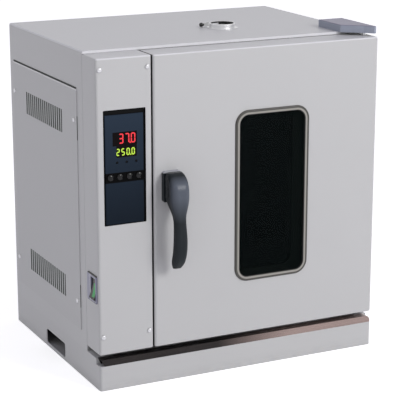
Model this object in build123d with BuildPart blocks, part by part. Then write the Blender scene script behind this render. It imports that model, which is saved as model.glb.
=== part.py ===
from build123d import *

import os
from math import cos, radians, sin

os.makedirs("parts", exist_ok=True)

# A bench-top dry heat sterilizer: a fan oven with a glazed door hinged on the right, a control
# column on the left, and a plinth below. Millimetres. The origin is the centre of the base on the
# bench, +X is the user's right, +Y is the back and +Z is up.

# ---------------------------------------------------------------- driving dimensions
WIDTH = 605.0
DEPTH = 466.0
HEIGHT = 644.0  # top of the door and of the control column
ROOF = 649.0

SKIN = 1.5  # painted outer sheet
LINER = 1.2  # stainless inner sheet
PLINTH_SHEET = 2.0
CLEAR = 0.3  # between bodies that move past each other
RUNNING = 0.08  # radial, of a pin in its bush

DOOR_THICK = 62.0
SEAL_GAP = 3.0
COLUMN_WIDTH = 112.0
COLUMN_GAP = 3.0
DOOR_BOTTOM = 72.5
DOOR_EDGE = 5.0  # radius round the front of the door and of the column

PLINTH_TOP = 61.5
SILL_LOW = 49.5
SILL_TOP = 63.0
SILL_DEPTH = 20.0

CHAMBER_WIDTH = 350.0
CHAMBER_HEIGHT = 420.0
CHAMBER_DEPTH = 340.0

PIVOT_INSET = 13.0  # hinge pin from the right side
PIVOT_DEPTH = 34.0  # hinge pin behind the door's front
PIN_RADIUS = 4.0

LEFT = -WIDTH / 2
RIGHT = WIDTH / 2
FRONT = -DEPTH / 2
BACK = DEPTH / 2
CABINET_FRONT = FRONT + DOOR_THICK + SEAL_GAP
DOOR_BACK = FRONT + DOOR_THICK
DOOR_TOP = HEIGHT - 0.5
DOOR_LEFT = LEFT + COLUMN_WIDTH + COLUMN_GAP
COLUMN_RIGHT = LEFT + COLUMN_WIDTH
CHAMBER_X = (DOOR_LEFT + RIGHT) / 2
CHAMBER_Z = (DOOR_BOTTOM + HEIGHT) / 2
CHAMBER_LEFT = CHAMBER_X - CHAMBER_WIDTH / 2
CHAMBER_RIGHT = CHAMBER_X + CHAMBER_WIDTH / 2
CHAMBER_FLOOR = CHAMBER_Z - CHAMBER_HEIGHT / 2
CHAMBER_ROOF = CHAMBER_Z + CHAMBER_HEIGHT / 2
FRAME_SHEET = 2.0
CHAMBER_FRONT = CABINET_FRONT + FRAME_SHEET
CHAMBER_BACK = CHAMBER_FRONT + CHAMBER_DEPTH
PIVOT_X = RIGHT - PIVOT_INSET
PIVOT_Y = FRONT + PIVOT_DEPTH
PARTITION_X = DOOR_LEFT + 1.5  # wall between the control space and the oven
BACK_SHEET_Y = BACK - 3.0
LATCH_X = LEFT + 149.5
LATCH_Z = 391.5
KEEPER_RADIUS = 18.0
FASCIA_SCREWS = [(LEFT + x, z) for x in (8.0, 103.5) for z in (109.0, 623.0)]


# ---------------------------------------------------------------- helpers
def from_left(x):
    """A distance from the cabinet's left side, as X."""
    return LEFT + x


def from_front(y):
    """A distance behind the door's front, as Y."""
    return FRONT + y


def facing_front(y):
    """The upright plane at Y that faces the user, its own axes along X and Z."""
    return Plane(origin=(0, y, 0), x_dir=(1, 0, 0), z_dir=(0, -1, 0))


def facing_left(x):
    """The upright plane at X that faces left, its own axes along -Y and Z."""
    return Plane(origin=(x, 0, 0), x_dir=(0, -1, 0), z_dir=(-1, 0, 0))


def block(x, y, z, mode=Mode.ADD):
    """A block between three pairs of planes, each given as (low, high)."""
    with Locations(Location([(low + high) / 2 for low, high in (x, y, z)])):
        Box(*[high - low for low, high in (x, y, z)], mode=mode)


def rod(start, end, radius, mode=Mode.ADD):
    """A round bar from one point to another."""
    way = Vector(*end) - Vector(*start)
    with BuildSketch(Plane(origin=start, z_dir=way.normalized())) as section:
        Circle(radius)
    extrude(section.sketch, amount=way.length, mode=mode)


def slab(centre, size, near, far, mode=Mode.ADD):
    """A rounded plate facing the front: size is (width, height, corner radius)."""
    with BuildSketch(facing_front(near)) as outline:
        with Locations(centre):
            RectangleRounded(*size)
    extrude(outline.sketch, amount=near - far, mode=mode)


def tray(x, y, z, upright, level):
    """A block whose front is rounded: its upright front edges first, then its level ones."""
    with BuildPart() as body:
        block(x, y, z)
        front = body.faces().sort_by(Axis.Y)[0]
        fillet(front.edges().filter_by(Axis.Z), radius=upright)
        front = body.faces().sort_by(Axis.Y)[0]
        fillet(front.edges().filter_by(Axis.X), radius=level)
    return body.part


def ring(centre, outer, inner, near, far):
    """A rounded rectangular ring facing the front, between two depths."""
    with BuildSketch(facing_front(near)) as outline:
        with Locations(centre):
            RectangleRounded(*outer)
            RectangleRounded(*inner, mode=Mode.SUBTRACT)
    extrude(outline.sketch, amount=near - far)


def dome_screw(seat, direction, head_radius, head_height, shank_radius, shank_length):
    """A round-headed screw seated on a face, its head pointing along direction."""
    crown = head_radius * 0.55
    with BuildSketch(Plane.XZ) as half:
        with BuildLine():
            Polyline((head_radius, 0), (shank_radius, 0), (shank_radius, -shank_length))
            Polyline((shank_radius, -shank_length), (0, -shank_length), (0, head_height))
            Line((0, head_height), (crown, head_height))
            shoulder = (crown + 0.75 * (head_radius - crown), 0.7 * head_height)
            ThreePointArc((crown, head_height), shoulder, (head_radius, 0))
        make_face()
    screw = revolve(half.sketch, Axis.Z, mode=Mode.PRIVATE)
    add(Plane(origin=seat, z_dir=direction).location * screw)


def write(piece, name):
    """Labels a finished piece and writes its STEP file."""
    piece.part.label = name
    export_step(piece.part, f"parts/{name}.step")


# ---------------------------------------------------------------- plinth
HAND_HOLE_Y = from_front(238.0)
HAND_HOLE_Z = 22.0
HAND_HOLE = (105.0, 30.0, 6.0)
SILL_BACK = FRONT + SILL_DEPTH



def plinth_profile(x, inset):
    """The plinth seen from the side, its ledge at the front, drawn in by an inset."""
    with BuildSketch(Plane.YZ.offset(x)) as profile:
        with BuildLine():
            Polyline(
                (FRONT + inset, inset),
                (BACK - inset, inset),
                (BACK - inset, PLINTH_TOP - inset),
                (SILL_BACK + inset, PLINTH_TOP - inset),
                (SILL_BACK + inset, SILL_LOW - inset),
                (FRONT + inset, SILL_LOW - inset),
                close=True,
            )
        make_face()
    return profile.sketch


with BuildPart() as base_plinth:
    extrude(plinth_profile(LEFT, 0.0), amount=WIDTH)
    fillet(base_plinth.edges().filter_by(Axis.Z).group_by(Axis.Y)[0], radius=DOOR_EDGE)
    hollow = plinth_profile(LEFT + PLINTH_SHEET, PLINTH_SHEET)
    extrude(hollow, amount=WIDTH - 2 * PLINTH_SHEET, mode=Mode.SUBTRACT)
    with BuildSketch(facing_left(LEFT)) as hand_holes:
        with Locations((-HAND_HOLE_Y, HAND_HOLE_Z)):
            RectangleRounded(*HAND_HOLE)
    extrude(amount=-WIDTH, mode=Mode.SUBTRACT)
write(base_plinth, "base_plinth")

# The polished strip is an inverted channel that stands on the plinth's front ledge.
SILL_SHEET = 1.2
SILL_FACE_Y = FRONT + 0.5

with BuildPart() as sill_strip:
    with BuildSketch(Plane.YZ.offset(LEFT)) as channel:
        with BuildLine():
            Polyline(
                (SILL_FACE_Y, SILL_LOW),
                (SILL_FACE_Y, SILL_TOP),
                (SILL_BACK, SILL_TOP),
                (SILL_BACK, SILL_LOW),
                (SILL_BACK - SILL_SHEET, SILL_LOW),
                (SILL_BACK - SILL_SHEET, SILL_TOP - SILL_SHEET),
                (SILL_FACE_Y + SILL_SHEET, SILL_TOP - SILL_SHEET),
                (SILL_FACE_Y + SILL_SHEET, SILL_LOW),
                close=True,
            )
        make_face()
    extrude(amount=WIDTH)
    with BuildSketch(facing_front(FRONT)) as strip_outline:
        with BuildLine():
            Polyline(
                (RIGHT - 12.0, SILL_TOP),
                (LEFT + 3.0, SILL_TOP),
                (LEFT + 9.0, SILL_LOW),
                (RIGHT - 2.0, SILL_LOW),
                (RIGHT - 2.0, SILL_TOP - 10.0),
            )
            RadiusArc((RIGHT - 2.0, SILL_TOP - 10.0), (RIGHT - 12.0, SILL_TOP), -10.0)
        make_face()
    extrude(amount=-DEPTH, mode=Mode.INTERSECT)
write(sill_strip, "sill_strip")

# ---------------------------------------------------------------- cabinet shell
VENT_X = from_left(366.0)
VENT_Y = from_front(213.0)
VENT_OUTER = 26.0
WRAP_FRONT = CABINET_FRONT + 0.8
WRAP_CORNER = 4.0
HEM_FRONT = CABINET_FRONT - SKIN
HEM_BOTTOM = HEIGHT + 0.3
RETURN = 26.0  # the wrap's own flanges, that the back panel screws to

PANEL_Y = (from_front(93.0), from_front(446.0))
PANEL_Z = (96.0, 573.0)
PANEL_LAP = 22.0
PANEL_CENTRE = (-(PANEL_Y[0] + PANEL_Y[1]) / 2, (PANEL_Z[0] + PANEL_Z[1]) / 2)
PANEL_SIZE = (PANEL_Y[1] - PANEL_Y[0], PANEL_Z[1] - PANEL_Z[0])
PANEL_SCREWS = [(from_front(y), z) for y in (107.0, 438.0) for z in (152.5, 512.0)]
BACK_SCREWS = [(x, z) for x in (LEFT + 14.0, 0.0, RIGHT - 14.0) for z in (80.0, 625.0)]
SCREW_HOLE = 2.2


def wrap_profile(thickness):
    """The folded sheet seen from the front: two sides and a roof with rounded corners."""
    with BuildSketch(facing_front(HEM_FRONT)) as profile:
        height = ROOF - PLINTH_TOP
        with Locations((0, PLINTH_TOP + height / 2)):
            Rectangle(WIDTH, height)
        fillet(profile.vertices().group_by(Axis.Y)[-1], radius=WRAP_CORNER)
        with Locations((0, PLINTH_TOP + (height - thickness) / 2)):
            Rectangle(WIDTH - 2 * thickness, height - thickness, mode=Mode.SUBTRACT)
        fillet(profile.vertices().group_by(Axis.Y)[-2], radius=WRAP_CORNER - thickness)
    return profile.sketch


with BuildPart() as outer_wrap:
    extrude(wrap_profile(SKIN), amount=HEM_FRONT - BACK)
    block((LEFT, RIGHT), (HEM_FRONT, WRAP_FRONT), (PLINTH_TOP, HEM_BOTTOM), Mode.SUBTRACT)
    with BuildSketch(facing_front(HEM_FRONT)) as hem:
        with Locations((0, (HEM_BOTTOM + ROOF) / 2)):
            Rectangle(WIDTH, ROOF - HEM_BOTTOM)
        fillet(hem.vertices().group_by(Axis.Y)[-1], radius=WRAP_CORNER)
    extrude(amount=-SKIN)
    for side in (-1, 1):
        across = sorted((side * (WIDTH / 2 - 0.5), side * (WIDTH / 2 - RETURN)))
        block(across, (BACK_SHEET_Y - SKIN, BACK_SHEET_Y), (PLINTH_TOP, ROOF - 12.0))
    for x, z in BACK_SCREWS:
        if x:
            rod((x, BACK_SHEET_Y + 1, z), (x, BACK_SHEET_Y - 5, z), SCREW_HOLE, Mode.SUBTRACT)
    with Locations((VENT_X, VENT_Y, ROOF)):
        Hole(VENT_OUTER + CLEAR, depth=3 * SKIN)
    with BuildSketch(facing_left(LEFT)) as service_opening:
        with Locations(PANEL_CENTRE):
            RectangleRounded(PANEL_SIZE[0] - 2 * PANEL_LAP, PANEL_SIZE[1] - 2 * PANEL_LAP, 6.0)
        with Locations([(-y, z) for y, z in PANEL_SCREWS]):
            Circle(SCREW_HOLE)
    extrude(amount=-2 * SKIN, mode=Mode.SUBTRACT)
write(outer_wrap, "outer_wrap")

with BuildPart() as front_frame:
    with BuildSketch(facing_front(CABINET_FRONT)) as frame_face:
        inner_width = WIDTH - 2 * SKIN
        inner_height = ROOF - SKIN - PLINTH_TOP
        with Locations((0, PLINTH_TOP + inner_height / 2)):
            Rectangle(inner_width, inner_height)
        fillet(frame_face.vertices().group_by(Axis.Y)[-1], radius=WRAP_CORNER - SKIN)
        with Locations((CHAMBER_X, CHAMBER_Z)):
            RectangleRounded(CHAMBER_WIDTH, CHAMBER_HEIGHT, 8.0, mode=Mode.SUBTRACT)
        with Locations((from_left(55.5), 365.0)):
            RectangleRounded(78.0, 486.0, 6.0, mode=Mode.SUBTRACT)
        with Locations((LATCH_X, LATCH_Z)):
            Circle(KEEPER_RADIUS, mode=Mode.SUBTRACT)
    extrude(amount=-FRAME_SHEET)
    # Threaded posts welded to the frame, that the column's screws reach.
    for x, z in FASCIA_SCREWS:
        rod((x, CHAMBER_FRONT, z), (x, FRONT + SKIN, z), 3.0)
        rod((x, FRONT + 12.0, z), (x, FRONT, z), 2.0, Mode.SUBTRACT)
write(front_frame, "front_frame")

# ---------------------------------------------------------------- louvred service panel
SLOT = (4.4, 46.0)
SLOT_PITCH = 11.5
SLOT_COUNT = 18
GRILLE_Y = from_front(270.0)
GRILLE_ROWS = (498.0, 165.0)

with BuildPart() as service_panel:
    with BuildSketch(facing_left(LEFT)) as panel_outline:
        with Locations(PANEL_CENTRE):
            RectangleRounded(*PANEL_SIZE, 2.0)
        with Locations([(-y, z) for y, z in PANEL_SCREWS]):
            Circle(SCREW_HOLE, mode=Mode.SUBTRACT)
        for row in GRILLE_ROWS:
            with Locations((-GRILLE_Y, row)):
                with GridLocations(SLOT_PITCH, 1, SLOT_COUNT, 1):
                    Rectangle(*SLOT, mode=Mode.SUBTRACT)
    extrude(amount=SKIN)
    # A stiffening flange turned in round the service opening.
    with BuildSketch(facing_left(LEFT)) as stiffener:
        flange = (PANEL_SIZE[0] - 2 * PANEL_LAP - 2.0, PANEL_SIZE[1] - 2 * PANEL_LAP - 2.0)
        with Locations(PANEL_CENTRE):
            RectangleRounded(*flange, 5.0)
            RectangleRounded(flange[0] - 3.0, flange[1] - 3.0, 3.5, mode=Mode.SUBTRACT)
    extrude(amount=-12.0)
write(service_panel, "service_panel")

# ---------------------------------------------------------------- back
INLET = (from_left(58.0), 120.0)
INLET_HOLE = (28.0, 22.0, 3.0)

with BuildPart() as back_panel:
    with BuildSketch(facing_front(BACK_SHEET_Y)) as back_face:
        with Locations((0, PLINTH_TOP + inner_height / 2)):
            Rectangle(inner_width, inner_height)
        fillet(back_face.vertices().group_by(Axis.Y)[-1], radius=WRAP_CORNER - SKIN)
        with Locations(BACK_SCREWS):
            Circle(SCREW_HOLE, mode=Mode.SUBTRACT)
        with Locations(INLET):
            RectangleRounded(*INLET_HOLE, mode=Mode.SUBTRACT)
        with Locations((from_left(58.0), 540.0)):
            with GridLocations(10.0, 1, 7, 1):
                Rectangle(*SLOT, mode=Mode.SUBTRACT)
    extrude(amount=-SKIN)
write(back_panel, "back_panel")

with BuildPart() as panel_screws:
    for y, z in PANEL_SCREWS:
        dome_screw((LEFT - SKIN, y, z), (-1, 0, 0), 4.5, 2.4, 2.0, 7.0)
    for x, z in BACK_SCREWS:
        dome_screw((x, BACK_SHEET_Y + SKIN, z), (0, 1, 0), 4.0, 1.4, 2.0, 4.0)
write(panel_screws, "panel_screws")

with BuildPart() as mains_inlet:
    # An appliance inlet: a flange outside the sheet, a well with three blades inside it.
    slab(INLET, (50.0, 30.0, 4.0), BACK_SHEET_Y + SKIN, BACK)
    slab(INLET, INLET_HOLE, BACK - 26.0, BACK)
    slab(INLET, (23.0, 16.0, 2.0), BACK - 20.0, BACK, Mode.SUBTRACT)
    for dx, dz in ((-7.0, -2.0), (0.0, 3.0), (7.0, -2.0)):
        x = INLET[0] + dx
        z = INLET[1] + dz
        block((x - 1.0, x + 1.0), (BACK - 20.0, BACK - 5.0), (z - 2.0, z + 2.0))
write(mains_inlet, "mains_inlet")

# ---------------------------------------------------------------- control column
CUTOUT_X = from_left(56.5)
CUTOUT = (CUTOUT_X, 437.0)
CUTOUT_SIZE = (85.8, 220.0, 2.0)
SWITCH_Y = (from_front(8.0), from_front(53.0))
SWITCH_Z = (173.5, 229.0)
SWITCH_BODY = (41.0, 50.0)
SWITCH_CENTRE = (-(SWITCH_Y[0] + SWITCH_Y[1]) / 2, (SWITCH_Z[0] + SWITCH_Z[1]) / 2)

column_outside = tray(
    (LEFT, COLUMN_RIGHT), (FRONT, CABINET_FRONT), (DOOR_BOTTOM, HEIGHT), DOOR_EDGE, 2.5
)
column_inside = tray(
    (LEFT + SKIN, COLUMN_RIGHT - SKIN),
    (FRONT + SKIN, CABINET_FRONT + 1.0),
    (DOOR_BOTTOM + SKIN, HEIGHT - SKIN),
    DOOR_EDGE - SKIN,
    1.0,
)

with BuildPart() as control_fascia:
    add(column_outside)
    add(column_inside, mode=Mode.SUBTRACT)
    with BuildSketch(facing_front(FRONT)) as fascia_cuts:
        with Locations(CUTOUT):
            RectangleRounded(*CUTOUT_SIZE)
        with Locations(FASCIA_SCREWS):
            Circle(SCREW_HOLE)
    extrude(amount=-4.0, mode=Mode.SUBTRACT)
    with BuildSketch(facing_left(LEFT)) as switch_hole:
        with Locations(SWITCH_CENTRE):
            Rectangle(*SWITCH_BODY)
    extrude(amount=-4.0, mode=Mode.SUBTRACT)
write(control_fascia, "control_fascia")

with BuildPart() as fascia_screws:
    for x, z in FASCIA_SCREWS:
        dome_screw((x, FRONT, z), (0, -1, 0), 5.0, 3.2, 2.0, 10.0)
write(fascia_screws, "fascia_screws")

# ---------------------------------------------------------------- control panel
PLATE = (CUTOUT_X, 432.5)
PLATE_SIZE = (77.8, 209.0, 1.0)
PLATE_FRONT = FRONT + 2.0
PLATE_BACK = FRONT + 4.6
KEY_Z = 419.0
KEY_PITCH = 19.3
KEY_RADIUS = 6.25
KEY_XS = [CUTOUT_X + (n - 1.5) * KEY_PITCH for n in range(4)]
LAMP_Z = 446.5
LAMP_PITCH = 19.4
LAMP_XS = [from_left(61.0) + n * LAMP_PITCH for n in (-1, 0, 1)]
UPPER_WINDOW = (from_left(57.5), 491.0, 49.0, 25.0)
LOWER_WINDOW = (from_left(61.0), 467.5, 41.0, 22.0)
LENS_FRONT = PLATE_FRONT + 0.4
LENS_BACK = PLATE_BACK
BOARD_FRONT = FRONT + 14.0
BOARD_BACK = FRONT + 15.6
CASE_INNER = (72.0, 198.0)
KEY_TRAVEL = 1.5
KEY_FRONT = FRONT - 0.4
KEY_TAIL = FRONT + 9.0


def display_outline(y, shrink=0.0):
    """The stepped outline of the two display windows, on the plane at Y."""
    with BuildSketch(facing_front(y)) as outline:
        for x, z, width, height in (UPPER_WINDOW, LOWER_WINDOW):
            with Locations((x, z)):
                Rectangle(width - shrink, height - shrink + 1.0)
    return outline.sketch


with BuildPart() as panel_bezel:
    # The black ring behind the cut-out: the plate stands on its face, its lip meets the sheet.
    ring(CUTOUT, (95.0, 230.0, 3.0), (87.0, 222.0, 2.0), FRONT + SKIN, PLATE_BACK)
    ring(CUTOUT, (95.0, 230.0, 3.0), (*CASE_INNER, 1.0), PLATE_BACK, PLATE_BACK + 3.0)
write(panel_bezel, "panel_bezel")

with BuildPart() as control_plate:
    slab(PLATE, PLATE_SIZE, PLATE_FRONT, PLATE_BACK)
    chamfer(control_plate.faces().sort_by(Axis.Y)[0].edges(), length=0.8)
    extrude(display_outline(FRONT), amount=-PLATE_BACK + FRONT, mode=Mode.SUBTRACT)
    with BuildSketch(facing_front(FRONT)) as key_holes:
        with Locations([(x, KEY_Z) for x in KEY_XS]):
            Circle(KEY_RADIUS + CLEAR)
        with Locations([(x, LAMP_Z) for x in LAMP_XS]):
            Circle(2.5)
    extrude(amount=-8.0, mode=Mode.SUBTRACT)
write(control_plate, "control_plate")

with BuildPart() as display_window:
    extrude(display_outline(LENS_FRONT), amount=LENS_FRONT - LENS_BACK)
write(display_window, "display_window")

for name, (x, z, width, height) in (
    ("process_display", UPPER_WINDOW),
    ("setpoint_display", LOWER_WINDOW),
):
    with BuildPart() as module:
        slab((x, z), (width - 1.0, height - 1.0, 1.0), LENS_BACK, BOARD_FRONT)
    write(module, name)

with BuildPart() as indicator_lamps:
    for x in LAMP_XS:
        rod((x, BOARD_FRONT, LAMP_Z), (x, PLATE_FRONT + 0.2, LAMP_Z), 2.4)
    fillet(indicator_lamps.faces().filter_by(Axis.Y).group_by(Axis.Y)[0].edges(), radius=1.6)
write(indicator_lamps, "indicator_lamps")

with BuildPart() as display_board:
    slab((CUTOUT_X, 455.0), (CASE_INNER[0], 120.0, 1.0), BOARD_FRONT, BOARD_BACK)
    for x in KEY_XS:
        slab((x, KEY_Z), (6.0, 6.0, 0.6), KEY_TAIL + KEY_TRAVEL + CLEAR, BOARD_FRONT)
write(display_board, "display_board")

with BuildPart() as controller_case:
    case_front = PLATE_BACK + 3.0
    case_outer = (CASE_INNER[0] + 4.0, CASE_INNER[1] + 4.0, 3.0)
    slab(CUTOUT, case_outer, case_front, FRONT + 58.0)
    slab(CUTOUT, (*CASE_INNER, 1.0), case_front, FRONT + 56.0, Mode.SUBTRACT)
write(controller_case, "controller_case")

for name, x in zip(("set_key", "shift_key", "down_key", "up_key"), KEY_XS):
    with BuildPart() as key:
        rod((x, PLATE_BACK + CLEAR + KEY_TRAVEL, KEY_Z), (x, KEY_FRONT, KEY_Z), KEY_RADIUS)
        fillet(key.faces().sort_by(Axis.Y)[0].edges(), radius=2.2)
        rod((x, KEY_TAIL, KEY_Z), (x, FRONT, KEY_Z), 2.0)
        rod((x, PLATE_BACK + CLEAR, KEY_Z), (x, PLATE_BACK + 1.7, KEY_Z), KEY_RADIUS + 0.5)
    write(key, name)

# ---------------------------------------------------------------- power switch
ROCKER_Y = (from_front(11.5), from_front(35.0))
ROCKER_Z = 201.2
ROCKER_HALF = 20.5
ROCKER_TILT = 9.0
ROCKER_PIVOT_X = LEFT + 2.0
WELL = (ROCKER_Y[0] - CLEAR, ROCKER_Y[1] + CLEAR)

with BuildPart() as switch_bezel:
    with BuildSketch(facing_left(LEFT)) as bezel_outline:
        with Locations(SWITCH_CENTRE):
            RectangleRounded(SWITCH_Y[1] - SWITCH_Y[0], SWITCH_Z[1] - SWITCH_Z[0], 4.0)
    extrude(amount=3.0)
    chamfer(switch_bezel.faces().sort_by(Axis.X)[0].edges(), length=1.2)
    with BuildSketch(facing_left(LEFT)) as switch_body:
        with Locations(SWITCH_CENTRE):
            Rectangle(*SWITCH_BODY)
    extrude(amount=-26.0)
    well_half = ROCKER_HALF + 1.6
    well_z = (ROCKER_Z - well_half, ROCKER_Z + well_half)
    block((LEFT - 5.0, LEFT + 23.0), WELL, well_z, Mode.SUBTRACT)
    axle = [(ROCKER_PIVOT_X, y, ROCKER_Z) for y in (WELL[0] - 0.8, WELL[1] + 0.8)]
    rod(*axle, 1.5)
write(switch_bezel, "switch_bezel")

with BuildPart() as power_rocker:
    # A dished face, higher at both ends, on a body that narrows to its pivot.
    outward = (-cos(radians(ROCKER_TILT)), 0, sin(radians(ROCKER_TILT)))
    pivot = (ROCKER_PIVOT_X, ROCKER_Y[0], ROCKER_Z)
    tilted = Plane(origin=pivot, x_dir=outward, z_dir=(0, 1, 0))
    with BuildSketch(tilted) as rocker_side:
        with BuildLine():
            ThreePointArc((5.5, -ROCKER_HALF), (3.2, 0), (5.5, ROCKER_HALF))
            Polyline((5.5, ROCKER_HALF), (1.0, ROCKER_HALF), (-10.0, 9.0), (-10.0, -9.0))
            Polyline((-10.0, -9.0), (1.0, -ROCKER_HALF), (5.5, -ROCKER_HALF))
        make_face()
    extrude(amount=ROCKER_Y[1] - ROCKER_Y[0])
    rod(*axle, 1.5 + RUNNING, Mode.SUBTRACT)
write(power_rocker, "power_rocker")

# ---------------------------------------------------------------- inside the control space
with BuildPart() as compartment_wall:
    block(
        (PARTITION_X, PARTITION_X + LINER),
        (CHAMBER_FRONT, BACK_SHEET_Y - 1.5),
        (PLINTH_TOP, ROOF - SKIN),
    )
    FAN_Y = (CHAMBER_FRONT + CHAMBER_BACK) / 2
    FAN_Z = CHAMBER_Z
    rod((PARTITION_X - 2, FAN_Y, FAN_Z), (PARTITION_X + 4, FAN_Y, FAN_Z), 8.0, Mode.SUBTRACT)
write(compartment_wall, "compartment_wall")

MOTOR_FACE = PARTITION_X - 22.0
SHAFT_RADIUS = 4.0

with BuildPart() as fan_motor:
    rod((MOTOR_FACE - 62.0, FAN_Y, FAN_Z), (MOTOR_FACE, FAN_Y, FAN_Z), 38.0)
    rod((MOTOR_FACE - 54.0, FAN_Y, FAN_Z), (MOTOR_FACE - 12.0, FAN_Y, FAN_Z), 44.0)
    for quarter in range(4):
        angle = radians(45 + 90 * quarter)
        leg_y = FAN_Y + 38.0 * cos(angle)
        leg_z = FAN_Z + 38.0 * sin(angle)
        rod((MOTOR_FACE - 14.0, leg_y, leg_z), (PARTITION_X, leg_y, leg_z), 4.0)
    shaft_end = (MOTOR_FACE - 24.0, FAN_Y, FAN_Z)
    rod(shaft_end, (MOTOR_FACE + 1.0, FAN_Y, FAN_Z), SHAFT_RADIUS + RUNNING, Mode.SUBTRACT)
write(fan_motor, "fan_motor")

with BuildPart() as heater_relay:
    # A relay on a finned heat sink, fixed to the compartment wall.
    block((PARTITION_X - 6.0, PARTITION_X), (40.0, 120.0), (200.0, 270.0))
    for fin in range(9):
        y = 44.0 + 9.0 * fin
        block((PARTITION_X - 30.0, PARTITION_X - 5.0), (y - 1.0, y + 1.0), (200.0, 270.0))
    block((PARTITION_X - 48.0, PARTITION_X - 30.0), (52.0, 108.0), (212.0, 257.0))
write(heater_relay, "heater_relay")

with BuildPart() as terminal_block:
    block((PARTITION_X - 16.0, PARTITION_X), (60.0, 160.0), (110.0, 132.0))
    with Locations(Plane(origin=(PARTITION_X - 16.0, 110.0, 121.0), z_dir=(-1, 0, 0))):
        with GridLocations(11.0, 11.0, 2, 8):
            CounterBoreHole(1.5, 3.2, 3.0, depth=10.0)
write(terminal_block, "terminal_block")

with BuildPart() as limit_thermostat:
    block((PARTITION_X - 34.0, PARTITION_X), (60.0, 104.0), (470.0, 520.0))
    rod((PARTITION_X - 44.0, 82.0, 495.0), (PARTITION_X - 34.0, 82.0, 495.0), 5.0)
write(limit_thermostat, "limit_thermostat")

# ---------------------------------------------------------------- chamber
LINER_FLANGE = 14.0

with BuildPart() as chamber_liner:
    outer_size = (CHAMBER_WIDTH + 2 * LINER, CHAMBER_HEIGHT + 2 * LINER, 8.0 + LINER)
    flange_size = (CHAMBER_WIDTH + 2 * LINER_FLANGE, CHAMBER_HEIGHT + 2 * LINER_FLANGE, 10.0)
    centre = (CHAMBER_X, CHAMBER_Z)
    slab(centre, outer_size, CHAMBER_FRONT, CHAMBER_BACK + LINER)
    slab(centre, flange_size, CHAMBER_FRONT, CHAMBER_FRONT + LINER)
    slab(centre, (CHAMBER_WIDTH, CHAMBER_HEIGHT, 8.0), CHAMBER_FRONT, CHAMBER_BACK, Mode.SUBTRACT)
    shaft_in = (CHAMBER_LEFT - 4.0, FAN_Y, FAN_Z)
    rod(shaft_in, (CHAMBER_LEFT + 4.0, FAN_Y, FAN_Z), 7.0, Mode.SUBTRACT)
    roof = CHAMBER_ROOF + 4.0
    rod((VENT_X, VENT_Y, roof), (VENT_X, VENT_Y, CHAMBER_ROOF - 4.0), VENT_OUTER - 3.0, Mode.SUBTRACT)
write(chamber_liner, "chamber_liner")

WOOL_BACK = BACK_SHEET_Y - 8.0
KEEPER_DEPTH = 24.0

with BuildPart() as chamber_insulation:
    block(
        (PARTITION_X + LINER, RIGHT - SKIN),
        (CHAMBER_FRONT + LINER, WOOL_BACK),
        (PLINTH_TOP, ROOF - SKIN),
    )
    roof_corner = chamber_insulation.edges().filter_by(Axis.Y).group_by(Axis.Z)[-1].sort_by(Axis.X)[-1]
    fillet(roof_corner, radius=WRAP_CORNER)
    slab(centre, outer_size, CHAMBER_FRONT, CHAMBER_BACK + LINER, Mode.SUBTRACT)
    rod((PARTITION_X - 1, FAN_Y, FAN_Z), (CHAMBER_LEFT, FAN_Y, FAN_Z), 8.0, Mode.SUBTRACT)
    rod((VENT_X, VENT_Y, ROOF), (VENT_X, VENT_Y, CHAMBER_ROOF), VENT_OUTER, Mode.SUBTRACT)
    rod(
        (LATCH_X, CHAMBER_FRONT, LATCH_Z),
        (LATCH_X, CHAMBER_FRONT + KEEPER_DEPTH, LATCH_Z),
        KEEPER_RADIUS + SKIN,
        Mode.SUBTRACT,
    )
write(chamber_insulation, "chamber_insulation")

DUCT_X = CHAMBER_LEFT + 34.0
DUCT_FRONT = CHAMBER_FRONT + 12.0

with BuildPart() as duct_plate:
    # The perforated wall between the fan space and the chamber, folded back at its front edge.
    block((DUCT_X, DUCT_X + LINER), (DUCT_FRONT, CHAMBER_BACK), (CHAMBER_FLOOR, CHAMBER_ROOF))
    fold_z = (CHAMBER_FLOOR + 8.0, CHAMBER_ROOF - 8.0)
    block((CHAMBER_LEFT, DUCT_X), (DUCT_FRONT, DUCT_FRONT + LINER), fold_z)
    with BuildSketch(facing_left(DUCT_X)) as duct_slots:
        for y in (DUCT_FRONT + 45.0, CHAMBER_BACK - 40.0):
            with Locations((-y, FAN_Z)):
                with GridLocations(1, 30.0, 1, 12):
                    Rectangle(36.0, 7.0)
        for step in range(-4, 5):
            with Locations((-FAN_Y + 12.0 * step, FAN_Z)):
                Rectangle(6.0, 112.0 - 5.0 * step * step)
    extrude(amount=-2 * LINER, mode=Mode.SUBTRACT)
write(duct_plate, "duct_plate")

IMPELLER_RADIUS = 62.0
IMPELLER_X = (CHAMBER_LEFT + 5.0, CHAMBER_LEFT + 28.0)

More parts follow.
